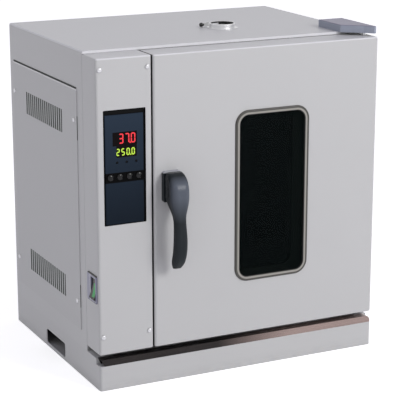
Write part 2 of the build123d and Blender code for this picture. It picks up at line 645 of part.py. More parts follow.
with BuildPart() as fan_impeller:
    # Shaft, backplate, front ring and ten backward-curved blades.
    rod((MOTOR_FACE - 22.0, FAN_Y, FAN_Z), (IMPELLER_X[1], FAN_Y, FAN_Z), SHAFT_RADIUS)
    rod((IMPELLER_X[0], FAN_Y, FAN_Z), (IMPELLER_X[0] + 1.5, FAN_Y, FAN_Z), IMPELLER_RADIUS)
    rod((IMPELLER_X[0], FAN_Y, FAN_Z), (IMPELLER_X[0] + 14.0, FAN_Y, FAN_Z), 11.0)
    blade_plane = Plane(origin=(IMPELLER_X[0] + 1.0, FAN_Y, FAN_Z), x_dir=(0, 1, 0), z_dir=(1, 0, 0))
    with BuildSketch(blade_plane) as blades:
        with PolarLocations(0, 10):
            with BuildLine() as blade:
                RadiusArc((30.0, 0.0), (58.0, 16.0), 44.0)
                offset(amount=0.8)
            make_face()
    extrude(amount=IMPELLER_X[1] - IMPELLER_X[0] - 1.0)
    with BuildSketch(blade_plane.offset(IMPELLER_X[1] - IMPELLER_X[0] - 2.5)) as shroud:
        Circle(IMPELLER_RADIUS)
        Circle(IMPELLER_RADIUS - 14.0, mode=Mode.SUBTRACT)
    extrude(amount=1.5)
write(fan_impeller, "fan_impeller")

HEATER_RADIUS = 82.0
HEATER_TUBE = 3.5

with BuildPart() as heater_element:
    # One ring of sheathed element round the fan, its two ends turned out to a flange.
    heater_x = CHAMBER_LEFT + 18.0
    ring_plane = Plane(origin=(heater_x, FAN_Y, FAN_Z), x_dir=(0, 1, 0), z_dir=(1, 0, 0))
    half_gap = 9.0
    end_y = (HEATER_RADIUS**2 - half_gap**2) ** 0.5
    with BuildLine(ring_plane) as element_path:
        CenterArc((0, 0), HEATER_RADIUS, 8.0, 344.0)
    start = element_path.line @ 0
    with BuildSketch(Plane(origin=start, z_dir=element_path.line % 0)) as tube:
        Circle(HEATER_TUBE)
    sweep(tube.sketch, path=element_path.line)
    for at in (0, 1):
        tip = element_path.line @ at
        rod((tip.X, tip.Y, tip.Z), (CHAMBER_LEFT, tip.Y, tip.Z), HEATER_TUBE)
    tip = element_path.line @ 0
    block((CHAMBER_LEFT, CHAMBER_LEFT + 2.5), (tip.Y - 9.0, tip.Y + 9.0), (FAN_Z - 20.0, FAN_Z + 20.0))
write(heater_element, "heater_element")

# ---------------------------------------------------------------- shelves
SHELF_ZS = (256.0, 400.0)
SHELF_X = (DUCT_X + LINER + 3.0, CHAMBER_RIGHT - 3.0)
SHELF_Y = (CHAMBER_FRONT + 22.0, CHAMBER_BACK - 14.0)
RIM = 2.5
WIRE = 1.5
LEDGE = 12.0

with BuildPart() as shelf_runners:
    for z in SHELF_ZS:
        low = z - RIM
        for wall, inward in ((DUCT_X + LINER, 1), (CHAMBER_RIGHT, -1)):
            ledge = sorted((wall, wall + inward * LEDGE))
            web = sorted((wall, wall + inward * LINER))
            block(ledge, SHELF_Y, (low - LINER, low))
            block(web, SHELF_Y, (low - LEDGE, low))
write(shelf_runners, "shelf_runners")

for name, z in zip(("lower_shelf", "upper_shelf"), SHELF_ZS):
    with BuildPart() as shelf:
        left, right = SHELF_X[0] + RIM, SHELF_X[1] - RIM
        near, far = SHELF_Y[0] + RIM, SHELF_Y[1] - RIM
        with BuildLine() as rim_path:
            with Locations(((left + right) / 2, (near + far) / 2, z)):
                FilletPolyline(
                    *[(left, near, z), (right, near, z), (right, far, z), (left, far, z)],
                    radius=9.0,
                    close=True,
                )
        rim_start = rim_path.line @ 0
        with BuildSketch(Plane(origin=rim_start, z_dir=rim_path.line % 0)) as rim_section:
            Circle(RIM)
        sweep(rim_section.sketch, path=rim_path.line)
        for n in range(1, 16):
            x = left + (right - left) * n / 16
            rod((x, near, z + 1.0), (x, far, z + 1.0), WIRE)
        for n in (1, 2):
            y = near + (far - near) * n / 3
            rod((left, y, z - 1.0), (right, y, z - 1.0), WIRE)
    write(shelf, name)

with BuildPart() as temperature_probe:
    probe = (DUCT_X + 16.0, CHAMBER_BACK - 16.0)
    rod((*probe, CHAMBER_ROOF), (*probe, CHAMBER_ROOF - 70.0), 3.0)
    rod((*probe, CHAMBER_ROOF), (*probe, CHAMBER_ROOF - 8.0), 7.0)
write(temperature_probe, "temperature_probe")

# ---------------------------------------------------------------- roof vent
VENT_INNER = 23.0
VENT_HEIGHT = 10.0
VENT_ARM = 149.0  # degrees from +X, at rest
VENT_SWEEP = 60.0
ARM_Z = (ROOF + 3.8, ROOF + 6.4)

with BuildPart() as vent_collar:
    # Tube, roof flange and rim, with a slot in the wall for the shutter's arm.
    with BuildSketch(Plane.XY.offset(CHAMBER_ROOF + LINER)) as tube_section:
        with Locations((VENT_X, VENT_Y)):
            Circle(VENT_OUTER)
            Circle(VENT_INNER, mode=Mode.SUBTRACT)
    extrude(amount=ROOF + VENT_HEIGHT - CHAMBER_ROOF - LINER)
    with BuildSketch(Plane.XY.offset(ROOF)) as flange_section:
        with Locations((VENT_X, VENT_Y)):
            Circle(VENT_OUTER + 5.0)
            Circle(VENT_INNER, mode=Mode.SUBTRACT)
    extrude(amount=1.2)
    fillet(vent_collar.faces().sort_by(Axis.Z)[-1].edges(), radius=1.2)
    slot_plane = Plane(origin=(VENT_X, VENT_Y, ROOF + 3.3), x_dir=(1, 0, 0), z_dir=(0, 0, 1))
    slot_from = VENT_ARM - VENT_SWEEP - 8.0
    slot_to = VENT_ARM + 8.0
    with BuildSketch(slot_plane) as arm_slot:
        with BuildLine():
            reach = VENT_OUTER + 1.0
            sweep_arc = CenterArc((0, 0), reach, slot_from, slot_to - slot_from)
            Line(sweep_arc @ 1, (0, 0))
            Line((0, 0), sweep_arc @ 0)
        make_face()
    extrude(amount=3.6, mode=Mode.SUBTRACT)
write(vent_collar, "vent_collar")


def vent_sectors(z, turn):
    """Three wedge holes of the vent on the plane at Z, turned by an angle."""
    with BuildSketch(Plane(origin=(VENT_X, VENT_Y, z), x_dir=(1, 0, 0), z_dir=(0, 0, 1))) as holes:
        with PolarLocations(0, 3, start_angle=turn):
            with BuildLine():
                outer_arc = CenterArc((0, 0), VENT_INNER - 4.0, -26.0, 52.0)
                inner_arc = CenterArc((0, 0), 8.0, -26.0, 52.0)
                Line(outer_arc @ 0, inner_arc @ 0)
                Line(outer_arc @ 1, inner_arc @ 1)
            make_face()
    return holes.sketch


with BuildPart() as vent_grate:
    rod((VENT_X, VENT_Y, ROOF + 1.2), (VENT_X, VENT_Y, ROOF + 2.8), VENT_INNER)
    extrude(vent_sectors(ROOF + 1.0, VENT_ARM + 60.0), amount=3.0, mode=Mode.SUBTRACT)
    rod((VENT_X, VENT_Y, ROOF + 2.0), (VENT_X, VENT_Y, ROOF + 6.0), 2.5)
    rod((VENT_X, VENT_Y, ROOF + 5.2), (VENT_X, VENT_Y, ROOF + 7.0), 5.0)
write(vent_grate, "vent_grate")

with BuildPart() as vent_shutter:
    rod((VENT_X, VENT_Y, ROOF + 3.1), (VENT_X, VENT_Y, ROOF + 4.7), VENT_INNER - CLEAR)
    extrude(vent_sectors(ROOF + 3.0, VENT_ARM), amount=3.0, mode=Mode.SUBTRACT)
    aim = (cos(radians(VENT_ARM)), sin(radians(VENT_ARM)))
    arm_z = (ARM_Z[0] + ARM_Z[1]) / 2
    arm_plane = Plane(origin=(VENT_X, VENT_Y, ARM_Z[0]), x_dir=(*aim, 0), z_dir=(0, 0, 1))
    with BuildSketch(arm_plane) as arm:
        with Locations((28.0, 0)):
            Rectangle(26.0, 5.0)
    extrude(amount=ARM_Z[1] - ARM_Z[0])
    # A raised web along the arm, and a black knob turned about it.
    upright = Plane(origin=arm_plane.origin, x_dir=(*aim, 0), z_dir=(aim[1], -aim[0], 0))
    with BuildSketch(upright) as web:
        with BuildLine():
            Polyline((27.5, 1.0), (40.0, 1.0), (40.0, 3.6), (27.5, 8.0), close=True)
        make_face()
    extrude(amount=1.5, both=True)
    with BuildSketch(upright) as knob:
        with BuildLine():
            Polyline((38.5, 3.4), (38.5, 1.4), (46.5, 1.4), (46.5, 3.4))
            ThreePointArc((46.5, 3.4), (42.5, 5.8), (38.5, 3.4))
        make_face()
    knob_axis = Axis(arm_plane.origin + Vector(0, 0, 1.4), (*aim, 0))
    revolve(knob.sketch, knob_axis)
    rod((VENT_X, VENT_Y, ROOF), (VENT_X, VENT_Y, ROOF + 8.0), 2.5 + RUNNING, Mode.SUBTRACT)
write(vent_shutter, "vent_shutter")

# ---------------------------------------------------------------- hinges
COVER_OUTLINE = [(550, 141), (605, 141), (605, 10), (601, 10), (586, 26), (550, 55)]
COVER_INSIDE = [(552, 139), (603, 139), (603, 10.8), (587.3, 27.5), (552, 56)]
BRACKET_OUTLINE = [(554, 137), (601, 137), (601, 17), (588.5, 30), (554, 58)]
BRACKET_TOP = ROOF + 3.0
COVER_TOP = ROOF + 14.5


def plan(points, z):
    """A flat outline at Z, its points given from the left side and from the front."""
    with BuildSketch(Plane.XY.offset(z)) as outline:
        with BuildLine():
            Polyline(*[(from_left(x), from_front(y)) for x, y in points], close=True)
        make_face()
    return outline.sketch


with BuildPart() as upper_hinge_bracket:
    extrude(plan(BRACKET_OUTLINE, ROOF), amount=BRACKET_TOP - ROOF)
    with Locations((PIVOT_X, PIVOT_Y, BRACKET_TOP)):
        Hole(PIN_RADIUS)
write(upper_hinge_bracket, "upper_hinge_bracket")

with BuildPart() as hinge_cover:
    extrude(plan(COVER_OUTLINE, ROOF), amount=COVER_TOP - ROOF)
    fillet(hinge_cover.faces().sort_by(Axis.Z)[-1].edges(), radius=1.2)
    extrude(plan(COVER_INSIDE, ROOF), amount=COVER_TOP - ROOF - 2.0, mode=Mode.SUBTRACT)
write(hinge_cover, "hinge_cover")

with BuildPart() as lower_hinge_bracket:
    bracket_x = (PIVOT_X - 18.0, PIVOT_X + 12.0)
    block(bracket_x, (PIVOT_Y - 10.0, CABINET_FRONT), (PLINTH_TOP, PLINTH_TOP + 8.0))
    chamfer(lower_hinge_bracket.edges().filter_by(Axis.Z).group_by(Axis.Y)[0], length=5.0)
    with Locations((PIVOT_X, PIVOT_Y, PLINTH_TOP + 8.0)):
        Hole(PIN_RADIUS)
write(lower_hinge_bracket, "lower_hinge_bracket")

PIN_REACH = 16.0

with BuildPart() as hinge_pins:
    # The upper pin hangs by its head, the lower one carries the door on a collar.
    at = (PIVOT_X, PIVOT_Y)
    rod((*at, DOOR_TOP - PIN_REACH), (*at, BRACKET_TOP + 3.0), PIN_RADIUS)
    rod((*at, BRACKET_TOP), (*at, BRACKET_TOP + 3.0), 6.0)
    rod((*at, PLINTH_TOP), (*at, DOOR_BOTTOM + PIN_REACH), PIN_RADIUS)
    rod((*at, PLINTH_TOP + 8.0), (*at, DOOR_BOTTOM - CLEAR), 8.0)
write(hinge_pins, "hinge_pins")

# ---------------------------------------------------------------- door
WINDOW = (from_left(368.0), 351.0)
WINDOW_CUT = (150.0, 331.0, 22.0)
TUNNEL = (158.0, 339.0, 24.0)
DOOR_CENTRE = ((DOOR_LEFT + RIGHT) / 2, (DOOR_BOTTOM + DOOR_TOP) / 2)
DOOR_INSIDE = (RIGHT - DOOR_LEFT - 2 * SKIN, DOOR_TOP - DOOR_BOTTOM - 2 * SKIN, 1.2)
SPINDLE_RADIUS = 5.0
BUSH_HALF = 11.0
BUSH_HEIGHT = 20.0
LINER_FACE = DOOR_BACK - SKIN

door_outside = tray(
    (DOOR_LEFT, RIGHT), (FRONT, DOOR_BACK), (DOOR_BOTTOM, DOOR_TOP), DOOR_EDGE, 2.5
)
door_inside = tray(
    (DOOR_LEFT + SKIN, RIGHT - SKIN),
    (FRONT + SKIN, DOOR_BACK + 1.0),
    (DOOR_BOTTOM + SKIN, DOOR_TOP - SKIN),
    DOOR_EDGE - SKIN,
    1.0,
)

with BuildPart() as door_shell:
    add(door_outside)
    hinge_edge = door_shell.edges().filter_by(Axis.Z).group_by(Axis.Y)[-1].sort_by(Axis.X)[-1]
    chamfer(hinge_edge, length=1.2)
    add(door_inside, mode=Mode.SUBTRACT)
    slab(WINDOW, WINDOW_CUT, FRONT, FRONT + 4.0, Mode.SUBTRACT)
    rod((LATCH_X, FRONT, LATCH_Z), (LATCH_X, FRONT + 4.0, LATCH_Z), 7.0, Mode.SUBTRACT)
    pivot_low = (PIVOT_X, PIVOT_Y, DOOR_BOTTOM - 1.0)
    pivot_high = (PIVOT_X, PIVOT_Y, DOOR_TOP + 1.0)
    rod(pivot_low, pivot_high, PIN_RADIUS + 1.0, Mode.SUBTRACT)
write(door_shell, "door_shell")

with BuildPart() as hinge_bushes:
    bush_x = (PIVOT_X - BUSH_HALF, RIGHT - 3.0)
    bush_y = (PIVOT_Y - BUSH_HALF, PIVOT_Y + BUSH_HALF)
    for z in (DOOR_BOTTOM + SKIN, DOOR_TOP - SKIN - BUSH_HEIGHT):
        block(bush_x, bush_y, (z, z + BUSH_HEIGHT))
    rod(pivot_low, pivot_high, PIN_RADIUS + RUNNING, Mode.SUBTRACT)
write(hinge_bushes, "hinge_bushes")

with BuildPart() as door_liner:
    slab(DOOR_CENTRE, DOOR_INSIDE, LINER_FACE, DOOR_BACK)
    slab(WINDOW, (130.0, 311.0, 14.0), LINER_FACE - 1.0, DOOR_BACK + 1.0, Mode.SUBTRACT)
    rod((LATCH_X, LINER_FACE, LATCH_Z), (LATCH_X, DOOR_BACK, LATCH_Z), 5.4, Mode.SUBTRACT)
write(door_liner, "door_liner")

with BuildPart() as window_tunnel:
    inside = (TUNNEL[0] - 2.0, TUNNEL[1] - 2.0, TUNNEL[2] - 1.0)
    ring(WINDOW, TUNNEL, inside, FRONT + SKIN, LINER_FACE)
write(window_tunnel, "window_tunnel")

with BuildPart() as door_insulation:
    wool = (DOOR_INSIDE[0], DOOR_INSIDE[1], DOOR_INSIDE[2])
    slab(DOOR_CENTRE, wool, FRONT + DOOR_EDGE, LINER_FACE)
    slab(WINDOW, TUNNEL, FRONT, DOOR_BACK, Mode.SUBTRACT)
    rod((LATCH_X, FRONT, LATCH_Z), (LATCH_X, DOOR_BACK, LATCH_Z), 10.0, Mode.SUBTRACT)
    for z in (DOOR_BOTTOM, DOOR_TOP - SKIN - BUSH_HEIGHT):
        block(bush_x, (FRONT, bush_y[1]), (z, z + BUSH_HEIGHT + SKIN), Mode.SUBTRACT)
write(door_insulation, "door_insulation")

GASKET = (162.0, 343.0, 28.0)
SIGHT = (142.0, 323.0, 18.0)
GLASS = (146.0, 327.0, 20.0)
GLASS_FRONT = FRONT + 0.5
GLASS_BACK = FRONT + 4.5
GASKET_PROUD = 3.0

with BuildPart() as window_gasket:
    ring(WINDOW, GASKET, SIGHT, FRONT - GASKET_PROUD, FRONT)
    fillet(window_gasket.faces().sort_by(Axis.Y)[0].edges(), radius=2.2)
    ring(WINDOW, WINDOW_CUT, SIGHT, FRONT, GLASS_FRONT)
    ring(WINDOW, WINDOW_CUT, GLASS, GLASS_FRONT, GLASS_BACK)
    ring(WINDOW, (155.0, 336.0, 22.5), GLASS, FRONT + SKIN, GLASS_BACK)
write(window_gasket, "window_gasket")

with BuildPart() as outer_glass:
    slab(WINDOW, GLASS, GLASS_FRONT, GLASS_BACK)
write(outer_glass, "outer_glass")

INNER_GLASS_FRONT = LINER_FACE - 4.0

with BuildPart() as inner_glass:
    slab(WINDOW, (154.0, 335.0, 22.0), INNER_GLASS_FRONT, LINER_FACE)
write(inner_glass, "inner_glass")

with BuildPart() as inner_window_frame:
    ring(WINDOW, (150.0, 331.0, 16.0), (130.0, 311.0, 14.0), DOOR_BACK, DOOR_BACK + SKIN)
write(inner_window_frame, "inner_window_frame")

with BuildPart() as door_seal:
    seal_outer = (CHAMBER_WIDTH + 34.0, CHAMBER_HEIGHT + 34.0, 16.0)
    seal_inner = (CHAMBER_WIDTH + 12.0, CHAMBER_HEIGHT + 12.0, 8.0)
    ring(centre, seal_outer, seal_inner, DOOR_BACK, CABINET_FRONT - CLEAR)
write(door_seal, "door_seal")

# ---------------------------------------------------------------- handle and latch
ROSE_PROUD = 8.0
ROSE_Z = LATCH_Z

with BuildPart() as handle_rose:
    slab((LATCH_X, ROSE_Z), (37.0, 60.0, 5.0), FRONT - ROSE_PROUD, FRONT)
    fillet(handle_rose.faces().sort_by(Axis.Y)[0].edges(), radius=1.5)
    bore = SPINDLE_RADIUS + RUNNING
    rod((LATCH_X, FRONT + 1, LATCH_Z), (LATCH_X, FRONT - 12.0, LATCH_Z), bore, Mode.SUBTRACT)
write(handle_rose, "handle_rose")

# Level sections of the lever, from its head to its tip:
# height, back and front distance from the door, width, corner radius.
LEVER_SECTIONS = [
    (421.1, 14.0, 24.0, 28.0, 4.5),
    (416.1, 9.5, 35.0, 34.0, 9.0),
    (404.2, 8.6, 47.0, 37.0, 11.0),
    (386.4, 8.6, 53.0, 37.0, 12.0),
    (369.6, 10.0, 53.0, 36.0, 12.0),
    (356.7, 17.0, 51.5, 31.0, 10.0),
    (341.8, 27.0, 50.5, 25.0, 9.0),
    (317.0, 32.0, 53.0, 24.0, 9.0),
    (289.3, 32.5, 55.0, 26.0, 9.5),
    (263.5, 28.0, 51.0, 26.0, 9.5),
    (245.7, 22.5, 42.0, 23.0, 8.0),
    (235.8, 22.5, 32.0, 16.0, 4.0),
]
SPINDLE_SOCKET = 20.0

with BuildPart() as door_handle:
    for z, back, front, width, corner in LEVER_SECTIONS:
        with BuildSketch(Plane.XY.offset(z)):
            with Locations((LATCH_X, FRONT - (back + front) / 2)):
                RectangleRounded(width, front - back, corner)
    loft()
    socket_end = FRONT - ROSE_PROUD - SPINDLE_SOCKET
    rod((LATCH_X, FRONT, LATCH_Z), (LATCH_X, socket_end, LATCH_Z), SPINDLE_RADIUS, Mode.SUBTRACT)
write(door_handle, "door_handle")

TEE = (28.0, 9.0, 3.0)
TEE_Y = (CABINET_FRONT + 8.0, CABINET_FRONT + 15.0)

with BuildPart() as latch_spindle:
    # A round bar from the lever to a tee that sits in the keeper.
    rod((LATCH_X, socket_end, LATCH_Z), (LATCH_X, TEE_Y[1], LATCH_Z), SPINDLE_RADIUS)
    slab((LATCH_X, LATCH_Z), TEE, TEE_Y[0], TEE_Y[1])
write(latch_spindle, "latch_spindle")

with BuildPart() as latch_keeper:
    # A cup behind the front frame that the tee turns in.
    cup_mouth = (LATCH_X, CHAMBER_FRONT, LATCH_Z)
    cup_back = (LATCH_X, CHAMBER_FRONT + KEEPER_DEPTH, LATCH_Z)
    cup_floor = (LATCH_X, CHAMBER_FRONT + KEEPER_DEPTH - SKIN, LATCH_Z)
    rod(cup_mouth, cup_back, KEEPER_RADIUS + SKIN)
    rod(cup_mouth, cup_floor, KEEPER_RADIUS, Mode.SUBTRACT)
write(latch_keeper, "latch_keeper")
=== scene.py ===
"""Finishes, small trim and a studio for a bench-top dry heat sterilizer.

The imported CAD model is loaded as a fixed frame. Each operator finishes one group of its
parts or adds one piece to them, and the last one sets up the floor, lights and camera.
"""

import math

import bmesh
import bpy
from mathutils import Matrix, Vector


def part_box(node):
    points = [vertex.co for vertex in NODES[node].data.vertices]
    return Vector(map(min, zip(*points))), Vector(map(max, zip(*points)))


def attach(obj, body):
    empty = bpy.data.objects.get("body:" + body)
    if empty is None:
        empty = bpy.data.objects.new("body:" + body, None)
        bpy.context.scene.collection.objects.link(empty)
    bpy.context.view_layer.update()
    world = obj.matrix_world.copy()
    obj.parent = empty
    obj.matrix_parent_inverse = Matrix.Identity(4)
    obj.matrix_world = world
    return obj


bl_info = {
    "name": "Dry heat sterilizer finishes",
    "version": (1, 0, 0),
    "blender": (4, 5, 0),
    "location": "3D View > Sidebar > Sterilizer",
    "description": "Paint, steel, glass and trim for a bench-top hot air sterilizer",
    "category": "Object",
}

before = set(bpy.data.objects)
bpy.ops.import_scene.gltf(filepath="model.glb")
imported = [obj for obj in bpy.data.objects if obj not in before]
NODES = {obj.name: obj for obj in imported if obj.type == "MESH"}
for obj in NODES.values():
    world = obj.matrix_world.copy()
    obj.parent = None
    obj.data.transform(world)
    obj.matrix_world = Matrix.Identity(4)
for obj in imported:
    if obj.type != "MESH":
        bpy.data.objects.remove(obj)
MM = 0.001


def linear(red, green, blue):
    """An sRGB colour, 0 to 255, as the linear RGBA that sockets expect."""
    channels = [c / 255 for c in (red, green, blue)]
    return (*[c / 12.92 if c <= 0.04045 else ((c + 0.055) / 1.055) ** 2.4 for c in channels], 1.0)


def shaded(colour, factor):
    """A colour made lighter or darker by a factor."""
    return (*[min(1.0, c * factor) for c in colour[:3]], 1.0)


# ------------------------------------------------------------------ places on the cabinet
LENS_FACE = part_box("display_window")[0][1]
ROSE_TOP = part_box("handle_rose")[1][2]
COVER_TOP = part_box("hinge_cover")[1][2]
ROCKER_LOW, ROCKER_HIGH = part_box("power_rocker")
LEVER_LOW, LEVER_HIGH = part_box("door_handle")
DOOR_LOW, DOOR_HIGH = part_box("door_shell")
VENT_LOW, VENT_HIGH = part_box("vent_collar")
WRAP_LOW, WRAP_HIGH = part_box("outer_wrap")
PANEL_LOW, PANEL_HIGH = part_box("service_panel")
SWITCH_LOW, SWITCH_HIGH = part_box("switch_bezel")
KEYS = ("set_key", "shift_key", "down_key", "up_key")

PLATE_SHADE = (437.0 * MM, 200.0 * MM)  # height and depth of the control plate's change of tone
KEY_BAND = (408.3 * MM, 427.4 * MM)
PROCESS_CENTRE, PROCESS_PITCH = (-246.2 * MM, 491.5 * MM), 12.05 * MM
SETPOINT_CENTRE, SETPOINT_PITCH = (-243.5 * MM, 466.0 * MM), 10.2 * MM
LOUVRE_Y = 37.0 * MM  # middle of the slots in the service panel
LOUVRE_PITCH = 11.5 * MM
LOUVRE_REACH = 100.0 * MM
LOUVRE_ROWS = (498.0 * MM, 165.0 * MM)
LOUVRE_HALF = 23.0 * MM
GASKET_CORNER = 28.0 * MM
LEVER_NECK = 354.0 * MM  # where the lever's head runs into its grip
GRUB_HEIGHT = 393.0 * MM

FLOOR_SIZE = 14.0
KEY_AIM = Vector((0, 0, 0.34))
KEY_AZIMUTH, KEY_ELEVATION = math.radians(26), math.radians(27)
KEY_DISTANCE, KEY_SIZE = 5.0, 1.7
PICTURE_WIDTH = 400  # pixels
SENSOR_WIDTH = 36.0  # millimetres

STEEL = linear(186, 186, 184)  # stainless sheet of the chamber and of the door's inside


# ------------------------------------------------------------------ shader maths
class Field:
    """A value that varies over a surface. Arithmetic on it adds Math nodes to its finish."""

    def __init__(self, finish, socket):
        self.finish = finish
        self.socket = socket

    def _math(self, operation, *values, clamp=False):
        inputs = dict(enumerate(values))
        settings = {"operation": operation, "use_clamp": clamp}
        return self.finish.add("ShaderNodeMath", settings, inputs)

    def __add__(self, other):
        return self._math("ADD", self, other)

    __radd__ = __add__

    def __sub__(self, other):
        return self._math("SUBTRACT", self, other)

    def __rsub__(self, other):
        return self._math("SUBTRACT", other, self)

    def __mul__(self, other):
        return self._math("MULTIPLY", self, other)

    def __truediv__(self, other):
        return self._math("DIVIDE", self, other)

    def __pow__(self, other):
        return self._math("POWER", self, other)

    def __abs__(self):
        return self._math("ABSOLUTE", self)

    def above(self, edge, soft=0.0):
        """1 where the value is over the edge, 0 where it is under, over a soft width."""
        if not soft:
            return self._math("GREATER_THAN", self, edge)
        return self._math("MULTIPLY", self - (edge - soft / 2), 1 / soft, clamp=True)

    def between(self, low, high, soft=0.0):
        """1 inside a band of values and 0 outside it."""
        return self.above(low, soft) * (1 - self.above(high, soft))

    def cycle(self, period):
        """How far through its period a repeating pattern is, 0 to 1."""
        return self._math("FRACT", self / period)

    def least(self, other):
        return self._math("MINIMUM", self, other)

    def most(self, other):
        return self._math("MAXIMUM", self, other)


class Finish:
    """A material, or the world, under construction: every node but Math comes from add()."""

    def __init__(self, name, kind="materials"):
        self.block = getattr(bpy.data, kind).new(name)  # the material or the world itself
        self.block.use_nodes = True
        self.tree = self.block.node_tree
        self.tree.nodes.clear()

    def add(self, kind, settings=None, inputs=None, output=0):
        """Adds a node: its settings first, then the values or links of its sockets."""
        node = self.tree.nodes.new(kind)
        for name, value in (settings or {}).items():
            setattr(node, name, value)
        for key, value in (inputs or {}).items():
            if isinstance(value, Field):
                self.tree.links.new(value.socket, node.inputs[key])
            else:
                node.inputs[key].default_value = value
        return Field(self, node.outputs[output])

    def place(self, axis=None):
        """Object coordinates, or one of them, in metres."""
        where = self.add("ShaderNodeTexCoord", output="Object")
        if axis is None:
            return where
        return self.add("ShaderNodeSeparateXYZ", inputs={0: where}, output=axis)

    def mapped(self, scale):
        """Object coordinates stretched along the axes."""
        inputs = {"Vector": self.place(), "Scale": scale}
        return self.add("ShaderNodeMapping", {"vector_type": "POINT"}, inputs)

    def noise(self, scale, detail=2.0, roughness=0.5, vector=None):
        """Soft noise from 0 to 1, over object coordinates unless a vector is given."""
        inputs = {
            "Vector": vector or self.place(),
            "Scale": scale,
            "Detail": detail,
            "Roughness": roughness,
        }
        return self.add("ShaderNodeTexNoise", {"noise_dimensions": "3D"}, inputs)

    def cells(self, scale):
        """Distance to the nearest of many scattered points."""
        inputs = {"Vector": self.place(), "Scale": scale}
        return self.add("ShaderNodeTexVoronoi", {"feature": "F1"}, inputs)

    def mix(self, mask, low, high):
        """The low colour where the mask is 0, the high one where it is 1."""
        settings = {"data_type": "RGBA", "clamp_factor": True}
        inputs = {0: mask, 6: low, 7: high}
        return self.add("ShaderNodeMix", settings, inputs, output=2)

    def bump(self, height, strength, distance):
        inputs = {"Height": height, "Strength": strength, "Distance": distance}
        return self.add("ShaderNodeBump", inputs=inputs)

    def surface(self, colour, roughness, **inputs):
        """The shader itself and the material output; returns the finished material."""
        names = {
            "metal": "Metallic",
            "normal": "Normal",
            "specular": "Specular IOR Level",
            "alpha": "Alpha",
            "glow": "Emission Color",
            "glow_strength": "Emission Strength",
        }
        sockets = {"Base Color": colour, "Roughness": roughness}
        sockets.update({names[key]: value for key, value in inputs.items()})
        shader = self.add("ShaderNodeBsdfPrincipled", inputs=sockets)
        self.add_output(shader)
        return self.block

    def add_output(self, shader, kind="ShaderNodeOutputMaterial"):
        """The last node, which the shader goes into."""
        output = self.tree.nodes.new(kind)
        self.tree.links.new(shader.socket, output.inputs["Surface"])


def from_vent(finish):
    """Metres from the axis of the roof vent."""
    across = finish.place("X") - (VENT_LOW[0] + VENT_HIGH[0]) / 2
    along = finish.place("Y") - (VENT_LOW[1] + VENT_HIGH[1]) / 2
    return (across**2 + along**2) ** 0.5


def rounded_distance(finish, centre, size, radius):
    """Metres inside a rounded rectangle's outline, seen from the front."""
    across = abs(finish.place("X") - centre[0]) - (size[0] / 2 - radius)
    up = abs(finish.place("Z") - centre[1]) - (size[1] / 2 - radius)
    corner = (across.most(0.0) ** 2 + up.most(0.0) ** 2) ** 0.5
    return radius - (corner + across.most(up).least(0.0))


# ------------------------------------------------------------------ finishes
def powder_coat(name, colour, roughness=0.42, texture=0.06, painted_light=None):
    """Satin powder coat: a fine orange peel under very slow changes of tone, and any painted
    highlights or shade laid over it.
    """
    paint = Finish(name)
    cloud = paint.noise(3.2, 3.0)
    peel = paint.noise(1300.0, 2.0, 0.6)
    speck = paint.noise(5200.0, 1.0)
    tone = paint.mix(cloud, shaded(colour, 0.965), shaded(colour, 1.03))
    tone = paint.mix(speck.above(0.62, 0.1) * 0.25, tone, shaded(colour, 0.9))
    # painted highlights and shade, where a finish has them, go over the tone here
    if painted_light:
        tone = painted_light(paint, tone)
    gloss = roughness + (peel - 0.5) * 0.12 + (cloud - 0.5) * 0.06
    normal = paint.bump(peel, texture, 0.0004)
    return paint.surface(tone, gloss, normal=normal, specular=0.4)


def brushed_steel(name, colour, stretch, roughness=0.3, depth=0.12):
    """Stainless sheet brushed along the axis whose stretch is the smallest."""
    steel = Finish(name)
    lines = steel.noise(1.0, 3.0, 0.65, steel.mapped(stretch))
    smear = steel.noise(9.0, 3.0)
    tone = steel.mix(lines, shaded(colour, 0.82), shaded(colour, 1.12))
    gloss = roughness + (lines - 0.5) * 0.22 + (smear - 0.5) * 0.12
    normal = steel.bump(lines, depth, 0.0003)
    return steel.surface(tone, gloss, metal=1.0, normal=normal)


def moulded(name, colour, roughness=0.4, grain=900.0, depth=0.08, specular=0.5):
    """Moulded plastic or rubber with a fine spark-eroded grain."""
    plastic = Finish(name)
    pits = plastic.noise(grain, 3.0, 0.6)
    cloud = plastic.noise(14.0, 2.0)
    tone = plastic.mix(cloud, shaded(colour, 0.9), shaded(colour, 1.1))
    gloss = roughness + (pits - 0.5) * 0.14 + (cloud - 0.5) * 0.05
    normal = plastic.bump(pits, depth, 0.0003)
    return plastic.surface(tone, gloss, normal=normal, specular=specular)


def turned_metal(name, colour, roughness=0.22):
    """Plated or turned metal with faint blotches where it has been handled."""
    metal = Finish(name)
    blotch = metal.noise(60.0, 3.0)
    fine = metal.noise(2600.0, 2.0)
    tone = metal.mix(blotch, shaded(colour, 0.88), shaded(colour, 1.08))
    gloss = roughness + (blotch - 0.5) * 0.12 + (fine - 0.5) * 0.06
    return metal.surface(tone, gloss, metal=1.0, normal=metal.bump(fine, 0.05, 0.0002))


def mineral_wool(name, colour):
    """Matted fibres: two scales of noise drawn out sideways, dull and rough."""
    wool = Finish(name)
    fibres = wool.noise(1.0, 4.0, 0.7, wool.mapped((90.0, 700.0, 900.0)))
    tufts = wool.noise(55.0, 3.0)
    tone = wool.mix(fibres * 0.6 + tufts * 0.4, shaded(colour, 0.6), shaded(colour, 1.15))
    return wool.surface(tone, 0.95, normal=wool.bump(fibres + tufts, 0.6, 0.002), specular=0.1)


def key_gloss(name):
    """Gloss black domes with fine moulding marks."""
    cap = Finish(name)
    marks = cap.noise(700.0, 2.0)
    tone = cap.mix(marks, linear(8, 8, 9), linear(20, 20, 22))
    normal = cap.bump(marks, 0.03, 0.0002)
    return cap.surface(tone, 0.12 + marks * 0.06, normal=normal, specular=0.26)


